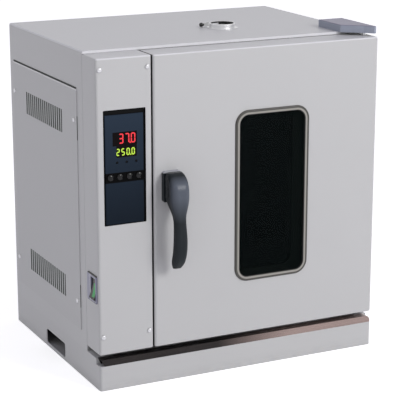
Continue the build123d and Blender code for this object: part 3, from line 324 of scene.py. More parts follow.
def dress(material, *names):
    """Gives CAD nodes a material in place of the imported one."""
    for name in names:
        mesh = NODES[name].data
        mesh.materials.clear()
        mesh.materials.append(material)


# ------------------------------------------------------------------ modelling with operators
def start_clean():
    """Object mode, with nothing selected."""
    if bpy.context.object and bpy.context.object.mode != "OBJECT":
        bpy.ops.object.mode_set(mode="OBJECT")
    bpy.ops.object.select_all(action="DESELECT")


def pick(piece, test, kind="FACE"):
    """Selects, in edit mode, the piece's faces, edges or corners that pass a test."""
    bpy.ops.mesh.select_mode(type=kind)
    bpy.ops.mesh.select_all(action="DESELECT")
    shape = bmesh.from_edit_mesh(piece.data)
    parts = {"FACE": shape.faces, "EDGE": shape.edges, "VERT": shape.verts}[kind]
    for part in parts:
        part.select = bool(test(part))
    shape.select_flush_mode()
    bmesh.update_edit_mesh(piece.data)


def settle(piece, name, body, material):
    """Names a finished piece, brings its place into its mesh and lets it ride on a body."""
    start_clean()
    bpy.context.view_layer.objects.active = piece
    piece.select_set(True)
    bpy.ops.object.transform_apply(location=True, rotation=True, scale=True)
    piece.name = piece.data.name = name
    piece.data.materials.clear()
    piece.data.materials.append(material)
    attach(piece, body)
    piece.select_set(False)
    return piece


def copied(piece, offset):
    """A copy of a piece with its own mesh, moved by an offset in metres."""
    twin = piece.copy()
    twin.data = piece.data.copy()
    bpy.context.scene.collection.objects.link(twin)
    twin.location = piece.location + Vector(offset)
    return twin


def joined(pieces):
    """Several meshes as one object."""
    start_clean()
    for piece in pieces:
        piece.select_set(True)
    bpy.context.view_layer.objects.active = pieces[0]
    if len(pieces) > 1:
        bpy.ops.object.join()
    return bpy.context.object


# ------------------------------------------------------------------ properties
def colour_setting(name, description, default):
    return bpy.props.FloatVectorProperty(
        name=name, description=description, subtype="COLOR", size=4, min=0, max=1, default=default
    )


def length_setting(name, description, default):
    return bpy.props.FloatProperty(
        name=name, description=description, unit="LENGTH", default=default
    )


class SterilizerColours(bpy.types.PropertyGroup):
    """Colours a user would change."""

    case_paint: colour_setting(
        "Case paint", "Powder coat of the door, column, wrap and plinth", linear(203, 203, 204)
    )
    panel: colour_setting(
        "Control plate", "Satin plate behind the displays and keys", linear(43, 54, 68)
    )
    lever: colour_setting("Door lever", "Moulded lever and its rose", linear(36, 41, 45))
    hinge_cover: colour_setting("Hinge cover", "Cap over the upper hinge", linear(162, 168, 184))
    process_glow: colour_setting(
        "Process digits", "Glow of the upper row of digits", linear(232, 40, 52)
    )
    setpoint_glow: colour_setting(
        "Set-point digits", "Glow of the lower row of digits", linear(178, 214, 60)
    )
    rocker: colour_setting("Rocker lens", "Green lens of the power switch", linear(40, 170, 84))


class SterilizerTrim(bpy.types.PropertyGroup):
    """Sizes of the pieces added to the frame."""

    process_height: length_setting("Process digit height", "Height of the upper digits", 19.5 * MM)
    setpoint_height: length_setting(
        "Set-point digit height", "Height of the lower digits", 14.0 * MM
    )
    digit_relief: length_setting(
        "Digit relief", "How far the lit segments stand proud of the lens", 0.25 * MM
    )
    dome_radius: length_setting("Key dome radius", "Radius of the domed cap on each key", 5.6 * MM)
    dome_height: length_setting("Key dome height", "Height of the domed cap on each key", 1.6 * MM)
    grub_radius: length_setting(
        "Grub screw radius", "Radius of the screw in the side of the lever", 3.2 * MM
    )


class SterilizerStudio(bpy.types.PropertyGroup):
    """The camera and lights."""

    azimuth: bpy.props.FloatProperty(
        name="Azimuth",
        description="Where the camera stands, round from the front",
        subtype="ANGLE",
        default=math.radians(-26.11),
    )
    elevation: bpy.props.FloatProperty(
        name="Elevation",
        description="How far the camera looks down",
        subtype="ANGLE",
        default=math.radians(14.825),
    )
    distance: length_setting(
        "Distance", "From the camera to the plane through the cabinet's middle", 3204.5 * MM
    )
    focal_pixels: bpy.props.FloatProperty(
        name="Focal length in pixels",
        description="On a picture 400 pixels wide",
        default=1542.9,
    )
    slide: bpy.props.FloatVectorProperty(
        name="Slide",
        description="How far the camera is moved right and up from its aim",
        size=2,
        unit="LENGTH",
        default=(21.0 * MM, -34.0 * MM),
    )
    key_strength: bpy.props.FloatProperty(
        name="Key light",
        description="Power of the soft light at the front right, in watts",
        default=100.0,
    )
    room_strength: bpy.props.FloatProperty(
        name="Room light",
        description="Strength of the even light from all round",
        default=0.48,
    )
    floor_lift: bpy.props.FloatProperty(
        name="Floor lift",
        description="Glow that makes the floor white to the camera outside the shadow",
        default=0.66,
    )


# ------------------------------------------------------------------ finishes of the CAD nodes
class FinishOperator:
    """Shared by the operators below: the colours and sizes of the scene."""

    bl_options = {"REGISTER", "UNDO"}

    @property
    def colours(self):
        return bpy.context.scene.sterilizer_colours

    @property
    def trim(self):
        return bpy.context.scene.sterilizer_trim


class STERILIZER_OT_case_paint(FinishOperator, bpy.types.Operator):
    """Powder coat on the wrap, door, column, panels and plinth"""

    bl_idname = "sterilizer.case_paint"
    bl_label = "Case paint"

    def execute(self, context):
        colour = tuple(self.colours.case_paint)
        dress(powder_coat("wrap_powder_coat", colour, painted_light=self.wrap_edge_highlights), "outer_wrap")
        dress(powder_coat("back_powder_coat", colour), "back_panel")
        dress(powder_coat("fascia_powder_coat", colour, painted_light=self.top_edge_highlight), "control_fascia")
        dress(powder_coat("door_powder_coat", colour, painted_light=self.flank_shade_and_top_highlight), "door_shell")
        side = shaded(colour, 0.98)
        dress(powder_coat("service_powder_coat", side, 0.46, painted_light=self.louvre_shade_and_top_highlight), "service_panel")
        dress(self.plinth_paint(colour), "base_plinth")
        dress(self.cover_paint(tuple(self.colours.hinge_cover)), "hinge_cover")
        return {"FINISHED"}

    def wrap_edge_highlights(self, paint, tone):
        """A painted highlight round the roof's folded edges and along its front hem."""
        roof = paint.place("Z").above(WRAP_HIGH[2] - 3.0 * MM, 1.0 * MM)
        side = abs(paint.place("X")).above(WRAP_HIGH[0] - 3.0 * MM, 1.5 * MM)
        hem = 1 - paint.place("Y").above(WRAP_LOW[1] + 1.4 * MM, 0.4 * MM)
        # painted highlight on the roof edges and the hem
        return paint.mix((roof * side * 0.7).most(hem), tone, linear(236, 236, 240))

    def top_edge_highlight(self, paint, tone):
        """A painted highlight along the top front edge."""
        top = paint.place("Z").above(DOOR_HIGH[2] - 2.2 * MM, 1.2 * MM)
        front = 1 - paint.place("Y").above(DOOR_LOW[1] + 2.4 * MM, 1.2 * MM)
        # painted highlight on the top front edge
        return paint.mix(top * front * 0.8, tone, linear(232, 232, 236))

    def flank_shade_and_top_highlight(self, paint, tone):
        """Painted shade as a dark strip down the flank that closes on the column, and a painted
        highlight on the top edge.
        """
        flank = 1 - paint.place("X").above(DOOR_LOW[0] + 0.9 * MM, 0.6 * MM)
        strip = flank * paint.place("Y").above(DOOR_LOW[1] + 3.6 * MM, 1.5 * MM)
        # painted shade on the flank, over the painted top highlight
        return paint.mix(strip, self.top_edge_highlight(paint, tone), linear(26, 26, 27))

    def louvre_shade_and_top_highlight(self, paint, tone):
        """Painted grey-green shade in and beside the slots, and a painted highlight along the top
        edge.
        """
        # painted shade inside the slots and in bars beside them
        grey = linear(78, 86, 80)
        cut = paint.place("X").above(PANEL_LOW[0] + 0.15 * MM, 0.1 * MM)
        along = paint.place("Y") - LOUVRE_Y
        slot_shade_bars = (1 - along.cycle(LOUVRE_PITCH).above(0.31)) * (1 - abs(along).above(LOUVRE_REACH))
        for height in LOUVRE_ROWS:
            row = 1 - abs(paint.place("Z") - height).above(LOUVRE_HALF)
            tone = paint.mix(row * slot_shade_bars, tone, linear(116, 122, 116))
            tone = paint.mix(row * cut, tone, grey)
        # painted highlight along the panel's top edge
        top = paint.place("Z").above(PANEL_HIGH[2] - 2.6 * MM, 0.8 * MM)
        return paint.mix(top, tone, linear(236, 236, 236))

    def cover_paint(self, colour):
        """Blue-grey satin, with painted shade making its top darker and more violet."""
        paint = Finish("hinge_cover_coat")
        cloud = paint.noise(18.0, 3.0)
        peel = paint.noise(1500.0, 2.0)
        top = paint.place("Z").above(COVER_TOP - 0.9 * MM, 0.5 * MM)
        tone = paint.mix(cloud, shaded(colour, 0.9), shaded(colour, 1.06))
        # painted shade on the cover's top
        top_shade = paint.mix(cloud, linear(112, 108, 130), linear(136, 132, 154))
        gloss = 0.36 + (peel - 0.5) * 0.1
        normal = paint.bump(peel, 0.04, 0.0003)
        return paint.surface(paint.mix(top, tone, top_shade), gloss, normal=normal, specular=0.3)

    def plinth_paint(self, colour):
        """The same coat, darker in patches towards its foot."""
        paint = Finish("plinth_powder_coat")
        cloud = paint.noise(4.0, 3.0)
        peel = paint.noise(1300.0, 2.0, 0.6)
        foot_patches = paint.noise(1.0, 4.0, 0.7, paint.mapped((30.0, 30.0, 220.0)))
        foot = 1 - paint.place("Z").above(12.0 * MM, 20.0 * MM)
        tone = paint.mix(cloud, shaded(colour, 0.95), shaded(colour, 1.02))
        tone = paint.mix(foot * foot_patches.above(0.5, 0.3) * 0.35, tone, shaded(colour, 0.7))
        gloss = 0.44 + (peel - 0.5) * 0.12 + foot * 0.1
        return paint.surface(tone, gloss, normal=paint.bump(peel, 0.06, 0.0004), specular=0.4)


class STERILIZER_OT_metalwork(FinishOperator, bpy.types.Operator):
    """Sill strip, screws, brackets, pins, keeper and vent metal"""

    bl_idname = "sterilizer.metalwork"
    bl_label = "Metalwork"

    def execute(self, context):
        zinc = turned_metal("zinc_plate", linear(176, 178, 182), 0.34)
        bright = turned_metal("bright_plate", linear(222, 222, 226), 0.3)
        brass = turned_metal("turned_brass", linear(190, 156, 92), 0.28)
        frame_steel = brushed_steel("frame_steel", linear(196, 196, 195), (600.0, 600.0, 14.0))
        dress(self.sill_painted_reflection(), "sill_strip")
        dress(self.screw_heads(linear(196, 196, 199)), "fascia_screws", "panel_screws")
        dress(zinc, "upper_hinge_bracket", "lower_hinge_bracket", "latch_keeper", "latch_spindle")
        dress(bright, "hinge_pins")
        dress(self.outlet(), "vent_collar")
        dress(brass, "hinge_bushes")
        dress(frame_steel, "front_frame")
        dress(self.shutter(), "vent_shutter")
        dress(moulded("vent_black", linear(14, 14, 15), 0.5), "vent_grate")
        return {"FINISHED"}

    def sill_painted_reflection(self):
        """A dark polished strip with a painted reflection: black to the left, pinkish brown
        towards its right end.
        """
        strip = Finish("sill_strip_reflection")
        lines = strip.noise(1.0, 3.0, 0.6, strip.mapped((8.0, 500.0, 900.0)))
        # painted reflection, changing from black to pinkish brown along the strip
        painted_reflection = strip.place("X").above(30.0 * MM, 160.0 * MM)
        dark = strip.mix(lines, linear(26, 24, 24), linear(52, 47, 46))
        light = strip.mix(lines, linear(128, 110, 106), linear(164, 146, 140))
        gloss = 0.26 + (lines - 0.5) * 0.16
        return strip.surface(
            strip.mix(painted_reflection, dark, light), gloss, metal=0.75, normal=strip.bump(lines, 0.06, 0.0002)
        )

    def screw_heads(self, colour):
        """Plated domed heads, finely scratched."""
        screw = Finish("screw_heads")
        fine = screw.noise(1800.0, 3.0)
        tone = screw.mix(fine, shaded(colour, 0.9), shaded(colour, 1.1))
        gloss = 0.38 + (fine - 0.5) * 0.1
        return screw.surface(tone, gloss, metal=1.0, normal=screw.bump(fine, 0.05, 0.0002))

    def outlet(self):
        """A plated collar, with painted shade making it black down its bore."""
        collar = Finish("vent_collar_plate")
        blotch = collar.noise(70.0, 3.0)
        # painted shade down the bore
        bore = 1 - from_vent(collar).above(23.7 * MM, 0.6 * MM)
        steel = collar.mix(blotch, linear(206, 206, 208), linear(230, 230, 232))
        tone = collar.mix(bore, steel, linear(11, 11, 12))
        return collar.surface(tone, 0.4 + blotch * 0.1, metal=1 - bore)

    def shutter(self):
        """A disc in the outlet made black as painted shade, and a plated arm whose knob is dipped
        in black.
        """
        low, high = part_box("vent_shutter")
        plate = Finish("vent_shutter_plate")
        blotch = plate.noise(90.0, 3.0)
        knob = 1 - plate.place("X").above(low[0] + 8.5 * MM, 0.6 * MM)
        # painted shade on the disc in the outlet
        well = 1 - from_vent(plate).above(23.0 * MM, 0.4 * MM)
        dark = knob.most(well)
        steel = plate.mix(blotch, linear(196, 196, 196), linear(226, 226, 224))
        tone = plate.mix(dark, steel, linear(13, 13, 14))
        gloss = 0.22 + blotch * 0.1 + dark * 0.15
        return plate.surface(tone, gloss, metal=1 - dark)


class STERILIZER_OT_control_panel(FinishOperator, bpy.types.Operator):
    """Control plate, lenses, keys, lamps and what lies behind them"""

    bl_idname = "sterilizer.control_panel"
    bl_label = "Control panel"

    def execute(self, context):
        dress(self.plate(tuple(self.colours.panel)), "control_plate")
        # the bezel is made near black, with little gloss, as painted shade for the dark recess
        # along the top of the control plate
        dress(moulded("bezel_shade_black", linear(6, 6, 7), 0.5, specular=0.08), "panel_bezel")
        dress(self.lens(), "display_window")
        dress(key_gloss("key_gloss_black"), *KEYS)
        lamp = moulded("lamp_unlit", linear(9, 9, 11), 0.3, grain=400.0, depth=0.02, specular=0.1)
        dress(lamp, "indicator_lamps")
        module = moulded("module_black", linear(22, 22, 22), 0.6)
        dress(module, "process_display", "setpoint_display")
        dress(self.board(), "display_board")
        dress(moulded("case_black", linear(30, 30, 31), 0.55), "controller_case", "mains_inlet")
        return {"FINISHED"}

    def plate(self, colour):
        """Navy film, a little lighter at the top, with a gloss black band behind the keys."""
        film = Finish("control_plate_film")
        height = film.place("Z")
        rise = height.above(*PLATE_SHADE)
        cloud = film.noise(26.0, 3.0)
        weave = film.noise(2400.0, 2.0)
        tone = film.mix(rise, shaded(colour, 0.42), shaded(colour, 1.16))
        tone = film.mix(cloud * 0.1, tone, colour)
        band = height.between(*KEY_BAND, 0.6 * MM)
        tone = film.mix(band, tone, linear(5, 5, 6))
        gloss = 0.52 + (weave - 0.5) * 0.16 - band * 0.2
        return film.surface(tone, gloss, normal=film.bump(weave, 0.05, 0.0002), specular=0.04)

    def lens(self):
        """Smoked lens: nearly black, with faint unlit segments' haze."""
        lens = Finish("display_lens")
        haze = lens.noise(160.0, 2.0)
        tone = lens.mix(haze, linear(7, 5, 6), linear(20, 9, 10))
        return lens.surface(tone, 0.14 + haze * 0.08, specular=0.05)

    def board(self):
        """Green solder mask over pale tracks."""
        board = Finish("circuit_board")
        tracks = board.cells(260.0).above(0.55, 0.04)
        cloud = board.noise(40.0, 2.0)
        mask = board.mix(cloud, linear(14, 70, 38), linear(24, 96, 54))
        tone = board.mix(tracks * 0.7, mask, linear(70, 140, 84))
        return board.surface(tone, 0.35, normal=board.bump(tracks, 0.2, 0.0002))


class STERILIZER_OT_power_switch(FinishOperator, bpy.types.Operator):
    """Grey switch frame and the rocker in it"""

    bl_idname = "sterilizer.power_switch"
    bl_label = "Power switch"

    def execute(self, context):
        dress(self.frame(), "switch_bezel")
        dress(self.rocker(tuple(self.colours.rocker)), "power_rocker")
        return {"FINISHED"}

    def rocker(self, colour):
        """Black rocker with a clear green lens let into its face."""
        rocker = Finish("rocker_green_lens")
        ribs = rocker.noise(700.0, 2.0)
        along = rocker.place("Y").between(ROCKER_LOW[1] + 1.0 * MM, ROCKER_LOW[1] + 13.0 * MM)
        up = rocker.place("Z").between(ROCKER_LOW[2] + 5.0 * MM, ROCKER_HIGH[2] - 10.0 * MM)
        lens = rocker.mix(ribs, shaded(colour, 0.85), shaded(colour, 1.15))
        tone = rocker.mix(along * up, linear(10, 12, 11), lens)
        return rocker.surface(tone, 0.2 + ribs * 0.08, specular=0.35)

    def frame(self):
        """Lavender-grey frame, with painted shade black in its well and at its ends, and a painted
        highlight as a pale lip at its back.
        """
        plastic = Finish("switch_frame")
        grain = plastic.noise(1100.0, 2.0)
        well = plastic.place("X").above(WRAP_LOW[0] - 0.2 * MM, 0.3 * MM)
        tone = plastic.mix(grain, linear(138, 138, 160), linear(154, 154, 176))
        # painted highlight along the back of the well
        lip = plastic.place("Y").between(ROCKER_HIGH[1] + 0.3 * MM, ROCKER_HIGH[1] + 3.0 * MM)
        tone = plastic.mix(lip, tone, linear(222, 222, 232))
        rim = plastic.place("Z").between(SWITCH_LOW[2] + 1.8 * MM, SWITCH_HIGH[2] - 1.8 * MM)
        # painted shade in the well and at the frame's ends
        tone = plastic.mix(well.most(1 - rim), tone, linear(10, 10, 12))
        gloss = 0.34 + (grain - 0.5) * 0.12
        return plastic.surface(tone, gloss, normal=plastic.bump(grain, 0.06, 0.0002))


class STERILIZER_OT_oven_interior(FinishOperator, bpy.types.Operator):
    """Chamber, duct, shelves, fan, heater and probe"""

    bl_idname = "sterilizer.oven_interior"
    bl_label = "Oven interior"

    def execute(self, context):
        sheet = brushed_steel("chamber_steel", STEEL, (500.0, 8.0, 500.0))
        dress(sheet, "chamber_liner", "duct_plate")
        dress(brushed_steel("runner_steel", STEEL, (700.0, 20.0, 700.0)), "shelf_runners")
        dress(turned_metal("shelf_wire", linear(206, 206, 204), 0.2), "lower_shelf", "upper_shelf")
        dress(turned_metal("probe_steel", linear(196, 196, 192), 0.26), "temperature_probe")
        dress(brushed_steel("fan_steel", STEEL, (20.0, 600.0, 600.0), 0.34), "fan_impeller")
        dress(self.heated_sheath(), "heater_element")
        wool = mineral_wool("mineral_wool", linear(206, 196, 160))
        dress(wool, "chamber_insulation", "door_insulation")
        return {"FINISHED"}

    def heated_sheath(self):
        """Element sheath tinted straw and blue by heat."""
        sheath = Finish("heater_sheath")
        bands = sheath.noise(34.0, 2.0)
        tint = sheath.mix(bands.above(0.5, 0.4), linear(120, 104, 84), linear(84, 88, 104))
        return sheath.surface(tint, 0.38 + bands * 0.1, metal=0.9)


class STERILIZER_OT_service_space(FinishOperator, bpy.types.Operator):
    """Motor, relay, terminals and thermostat behind the service panel"""

    bl_idname = "sterilizer.service_space"
    bl_label = "Service space"

    def execute(self, context):
        alloy = turned_metal("cast_alloy", linear(150, 151, 154), 0.48)
        dress(alloy, "fan_motor", "heater_relay")
        dress(moulded("terminal_nylon", linear(222, 219, 208), 0.5), "terminal_block")
        dress(moulded("thermostat_body", linear(212, 208, 196), 0.45), "limit_thermostat")
        wall = brushed_steel("galvanised_wall", linear(150, 153, 156), (60.0, 60.0, 60.0), 0.42)
        dress(wall, "compartment_wall")
        return {"FINISHED"}


class STERILIZER_OT_door_parts(FinishOperator, bpy.types.Operator):
    """Inner door, glazing, gasket, seal, rose and lever"""

    bl_idname = "sterilizer.door_parts"
    bl_label = "Door parts"

    def execute(self, context):
        dress(brushed_steel("door_liner_steel", STEEL, (500.0, 500.0, 10.0)), "door_liner")
        rim = brushed_steel("window_frame_steel", STEEL, (600.0, 600.0, 12.0))
        dress(rim, "inner_window_frame")
        dress(moulded("tunnel_enamel", linear(116, 130, 120), 0.5), "window_tunnel")
        dress(self.glass("outer_pane", linear(6, 12, 12), 0.62), "outer_glass")
        dress(self.glass("inner_pane", linear(6, 12, 11), 0.66), "inner_glass")
        dress(self.gasket(), "window_gasket")
        dress(moulded("door_seal_silicone", linear(112, 106, 102), 0.6), "door_seal")
        lever = tuple(self.colours.lever)
        dress(self.lever_plastic(lever), "door_handle")
        dress(self.rose_plastic(lever), "handle_rose")
        return {"FINISHED"}

    def rose_plastic(self, colour):
        """The lever's housing: charcoal sides under a top made pale grey by a painted highlight.
        """
        plastic = Finish("rose_plastic")
        pits = plastic.noise(1100.0, 3.0, 0.6)
        top = plastic.place("Z").above(ROSE_TOP - 3.0 * MM, 1.5 * MM)
        tone = plastic.mix(pits, shaded(colour, 0.8), shaded(colour, 1.2))
        # painted highlight on the rose's top
        tone = plastic.mix(top, tone, linear(168, 170, 176))
        gloss = 0.36 + (pits - 0.5) * 0.14
        return plastic.surface(tone, gloss, normal=plastic.bump(pits, 0.06, 0.0003), specular=0.2)

    def glass(self, name, tint, alpha):
        """Toughened pane, dark from outside, with a faint film on it."""
        pane = Finish(name)
        film = pane.noise(30.0, 4.0, 0.6)
        tone = pane.mix(film, shaded(tint, 0.8), shaded(tint, 1.2))
        cover = alpha + (film - 0.5) * 0.03
        gloss = 0.03 + (film - 0.45).most(0.0) * 0.1
        return pane.surface(tone, gloss, alpha=cover, specular=0.03)

    def gasket(self):
        """Window seal: a dark outer lip, a pale locking strip and a black inner edge."""
        rubber = Finish("window_gasket_rubber")
        low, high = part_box("window_gasket")
        centre = ((low[0] + high[0]) / 2, (low[2] + high[2]) / 2)
        size = (high[0] - low[0], high[2] - low[2])
        inside = rounded_distance(rubber, centre, size, GASKET_CORNER)
        fine = rubber.noise(900.0, 3.0)
        pale = inside.between(4.6 * MM, 8.4 * MM, 0.8 * MM)
        black = inside.above(8.6 * MM, 0.6 * MM)
        tone = rubber.mix(fine, linear(60, 58, 54), linear(74, 72, 68))
        tone = rubber.mix(pale, tone, linear(158, 155, 148))
        tone = rubber.mix(black, tone, linear(12, 12, 12))
        gloss = 0.42 + (fine - 0.5) * 0.12
        return rubber.surface(tone, gloss, normal=rubber.bump(fine, 0.06, 0.0003))

    def lever_plastic(self, colour):
        """Charcoal moulding, more polished on the front of its head, where a painted reflection
        makes it paler.
        """
        plastic = Finish("lever_plastic")
        pits = plastic.noise(1500.0, 3.0, 0.6)
        cloud = plastic.noise(22.0, 3.0)
        head = plastic.place("Z").above(LEVER_NECK, 50.0 * MM)
        front = 1 - plastic.place("Y").above(LEVER_LOW[1] + 15.0 * MM, 14.0 * MM)
        tone = plastic.mix(cloud, shaded(colour, 0.75), shaded(colour, 1.1))
        # painted reflection on the front of the head
        tone = plastic.mix(head * front * 0.75, tone, linear(104, 110, 122))
        gloss = 0.44 - head * 0.18 + (pits - 0.5) * 0.12
        return plastic.surface(tone, gloss, normal=plastic.bump(pits, 0.06, 0.0003), specular=0.14)


# ------------------------------------------------------------------ added pieces
# Across and up from a digit's middle to the segment's, in half cells, and whether it lies level.
SEGMENTS = {
    "a": (0, 2, True),
    "b": (1, 1, False),
    "c": (1, -1, False),
    "d": (0, -2, True),
    "e": (-1, -1, False),
    "f": (-1, 1, False),
    "g": (0, 0, True),
}
LIT = {
    "0": "abcdef",
    "2": "abged",
    "3": "abgcd",
    "5": "afgcd",
    "7": "abc",
}


def flat_disc(vertices, radius, location, rotation):
    """A filled circle with its place and turn applied, left in edit mode."""
    start_clean()
    bpy.ops.mesh.primitive_circle_add(
        vertices=vertices, radius=radius, fill_type="NGON", location=location, rotation=rotation
    )
    bpy.ops.object.transform_apply(location=True, rotation=True, scale=True)
    bpy.ops.object.mode_set(mode="EDIT")
    return bpy.context.object


def drawn_out(piece, shift, is_front, *insets):
    """Gives a flat piece its depth, and its front face a border for each inset."""
    bpy.ops.mesh.select_mode(type="FACE")
    bpy.ops.mesh.select_all(action="SELECT")
    bpy.ops.mesh.extrude_region_move(TRANSFORM_OT_translate={"value": shift})
    pick(piece, is_front)
    for thickness, depth in insets:
        bpy.ops.mesh.inset(thickness=thickness, depth=depth)
    bpy.ops.mesh.select_all(action="SELECT")
    bpy.ops.mesh.normals_make_consistent(inside=False)
    bpy.ops.object.mode_set(mode="OBJECT")
    return piece


def raised(piece, relief, face_y):
    """A flat piece on a lens, raised towards the front and softened at its edge."""
    front = face_y - relief

    def is_front(face):
        return all(abs(corner.co[1] - front) < 1e-6 for corner in face.verts)

    return drawn_out(piece, (0, -relief, 0), is_front, (relief * 0.6, 0))


def segment(length, thick, relief, level, face_y):
    """One bar of a digit: a hexagon drawn out to its length."""
    turn = math.radians(30) if level else 0.0
    bar = flat_disc(6, thick / 2, (0, face_y, 0), (math.radians(90), turn, 0))
    axis = 0 if level else 2
    for side in (-1, 1):
        pick(bar, lambda v: side * v.co[axis] > thick * 0.1, "VERT")
        shift = [0.0, 0.0, 0.0]
        shift[axis] = side * (length - thick) / 2
        bpy.ops.transform.translate(value=shift)
    return raised(bar, relief, face_y)


def decimal_point(radius, relief, face_y):
    """The round point after a digit."""
    dot = flat_disc(12, radius, (0, face_y, 0), (math.radians(90), 0, 0))
    return raised(dot, relief, face_y)


def digit_row(text, centre, pitch, height, relief, shares):
    """A row of lit digits. A point takes no cell; shares give a digit's width and thickness."""
    width = height * shares[0]
    thick = height * shares[1]
    face_y = LENS_FACE - 0.02 * MM
    reach_x = (width - thick) / 2
    reach_z = (height - thick) / 4
    level = segment(width - thick * 1.1, thick, relief, True, face_y)
    upright = segment(2 * reach_z - thick * 0.1, thick, relief, False, face_y)
    point = decimal_point(thick * 0.55, relief, face_y)
    cells = text.replace(".", "")
    row = []
    for index, digit in enumerate(cells):
        x = centre[0] + (index - (len(cells) - 1) / 2) * pitch
        for name in LIT.get(digit, ""):
            across, up, is_level = SEGMENTS[name]
            offset = (x + across * reach_x, 0, centre[1] + up * reach_z)
            row.append(copied(level if is_level else upright, offset))
    if "." in text:
        after = text.index(".") - 1
        x = centre[0] + (after - (len(cells) - 1) / 2 + 0.5) * pitch
        row.append(copied(point, (x, 0, centre[1] - 2 * reach_z)))
    for pattern in (level, upright, point):
        bpy.data.objects.remove(pattern)
    return joined(row)


def lit(name, colour, strength):
    """A glowing segment, very slightly uneven in its brightness."""
    glow = Finish(name)
    sparkle = glow.noise(900.0, 2.0)
    tone = glow.mix(sparkle, shaded(colour, 0.85), shaded(colour, 1.15))
    return glow.surface(shaded(colour, 0.3), 0.4, glow=tone, glow_strength=strength)


class STERILIZER_OT_process_digits(FinishOperator, bpy.types.Operator):
    """Red digits of the upper display"""

    bl_idname = "sterilizer.process_digits"
    bl_label = "Process digits"

    def execute(self, context):
        height = self.trim.process_height
        relief = self.trim.digit_relief
        row = digit_row(" 37.0", PROCESS_CENTRE, PROCESS_PITCH, height, relief, (0.5, 0.14))
        glow = lit("process_glow", tuple(self.colours.process_glow), 1.0)
        settle(row, "process_digits", "cabinet", glow)
        return {"FINISHED"}


class STERILIZER_OT_setpoint_digits(FinishOperator, bpy.types.Operator):
    """Yellow-green digits of the lower display"""

    bl_idname = "sterilizer.setpoint_digits"
    bl_label = "Set-point digits"

    def execute(self, context):
        height = self.trim.setpoint_height
        relief = self.trim.digit_relief
        row = digit_row("250.0", SETPOINT_CENTRE, SETPOINT_PITCH, height, relief, (0.52, 0.17))
        glow = lit("setpoint_glow", tuple(self.colours.setpoint_glow), 1.0)
        settle(row, "setpoint_digits", "cabinet", glow)
        return {"FINISHED"}


class STERILIZER_OT_key_domes(FinishOperator, bpy.types.Operator):
    """Domed gloss caps on the four keys"""

    bl_idname = "sterilizer.key_domes"
    bl_label = "Key domes"

    def execute(self, context):
        gloss = key_gloss("key_dome_black")
        for key in KEYS:
            self.dome(key, gloss)
        return {"FINISHED"}

    def dome(self, key, gloss):
        """The front of a sphere, cut off level with the key's face."""
        low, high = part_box(key)
        radius = self.trim.dome_radius
        height = self.trim.dome_height
        sphere = (radius**2 + height**2) / (2 * height)
        centre = ((low[0] + high[0]) / 2, low[1] - height + sphere, (low[2] + high[2]) / 2)
        start_clean()
        bpy.ops.mesh.primitive_uv_sphere_add(
            segments=40,
            ring_count=48,
            radius=sphere,
            location=centre,
            rotation=(math.radians(90), 0, 0),
        )
        cap = bpy.context.object
        bpy.ops.object.transform_apply(location=True, rotation=True, scale=True)
        bpy.ops.object.mode_set(mode="EDIT")
        bpy.ops.mesh.select_all(action="SELECT")
        cut = (centre[0], low[1], centre[2])
        bpy.ops.mesh.bisect(plane_co=cut, plane_no=(0, 1, 0), use_fill=True, clear_outer=True)
        bpy.ops.object.mode_set(mode="OBJECT")
        bpy.ops.object.shade_smooth_by_angle(angle=math.radians(40))
        settle(cap, key + "_dome", key + "_body", gloss)


class STERILIZER_OT_panel_shade_strip(FinishOperator, bpy.types.Operator):
    """Black strip along the service panel's top edge, added as painted shade for the gap there"""

    bl_idname = "sterilizer.panel_seal"
    bl_label = "Panel shade strip"

    def execute(self, context):
        thick, height = 1.2 * MM, 3.0 * MM
        length = PANEL_HIGH[1] - PANEL_LOW[1] - 6.0 * MM
        start_clean()
        bpy.ops.mesh.primitive_cube_add(
            size=1.0,
            location=(
                WRAP_LOW[0] - thick / 2,
                (PANEL_LOW[1] + PANEL_HIGH[1]) / 2,
                PANEL_HIGH[2] + height / 2 + 0.1 * MM,
            ),
        )
        strip = bpy.context.object
        strip.scale = (thick, length, height)
        bpy.ops.object.transform_apply(location=True, rotation=True, scale=True)
        bpy.ops.object.mode_set(mode="EDIT")
        pick(strip, lambda e: all(v.co[0] < WRAP_LOW[0] - thick / 2 for v in e.verts), "EDGE")
        bpy.ops.mesh.bevel(offset=0.5 * MM, segments=3)
        bpy.ops.object.mode_set(mode="OBJECT")
        # the strip is black as painted shade in the gap over the panel
        rubber = moulded("panel_shade_strip_black", linear(34, 38, 36), 0.6, specular=0.2)
        settle(strip, "panel_seal", "cabinet", rubber)
        return {"FINISHED"}


class STERILIZER_OT_grub_screw(FinishOperator, bpy.types.Operator):
    """Hexagon-socket grub screw in the lever's left side"""

    bl_idname = "sterilizer.grub_screw"
    bl_label = "Grub screw"

    def execute(self, context):
        radius = self.trim.grub_radius
        x = LEVER_LOW[0] - 0.05 * MM
        where = (x, LEVER_HIGH[1] - 13.0 * MM, GRUB_HEIGHT)
        screw = flat_disc(24, radius, where, (0, math.radians(-90), 0))

        def is_outer(face):
            return len(face.verts) > 4 and face.calc_center_median()[0] < x + 0.01 * MM

        rim, socket = (radius * 0.18, 0), (radius * 0.25, 0.2 * MM)
        drawn_out(screw, (0.35 * MM, 0, 0), is_outer, rim, socket)
        black = moulded("grub_screw_black", linear(18, 20, 24), 0.3, 2000.0)
        settle(screw, "lever_grub_screw", "handle", black)
        return {"FINISHED"}


# ------------------------------------------------------------------ studio
def direction(azimuth, elevation):
    """Unit vector from the cabinet: the azimuth turns from the front to the right."""
    level = math.cos(elevation)
    return Vector((math.sin(azimuth) * level, -math.cos(azimuth) * level, math.sin(elevation)))


def seen_directly(finish):
    """1 for rays from the camera, off metal or through glass, and 0 for soft light."""
    kinds = ("Is Camera Ray", "Is Glossy Ray", "Is Transmission Ray")
    camera, glossy, through = [finish.add("ShaderNodeLightPath", output=kind) for kind in kinds]
    return camera.most(glossy).most(through)


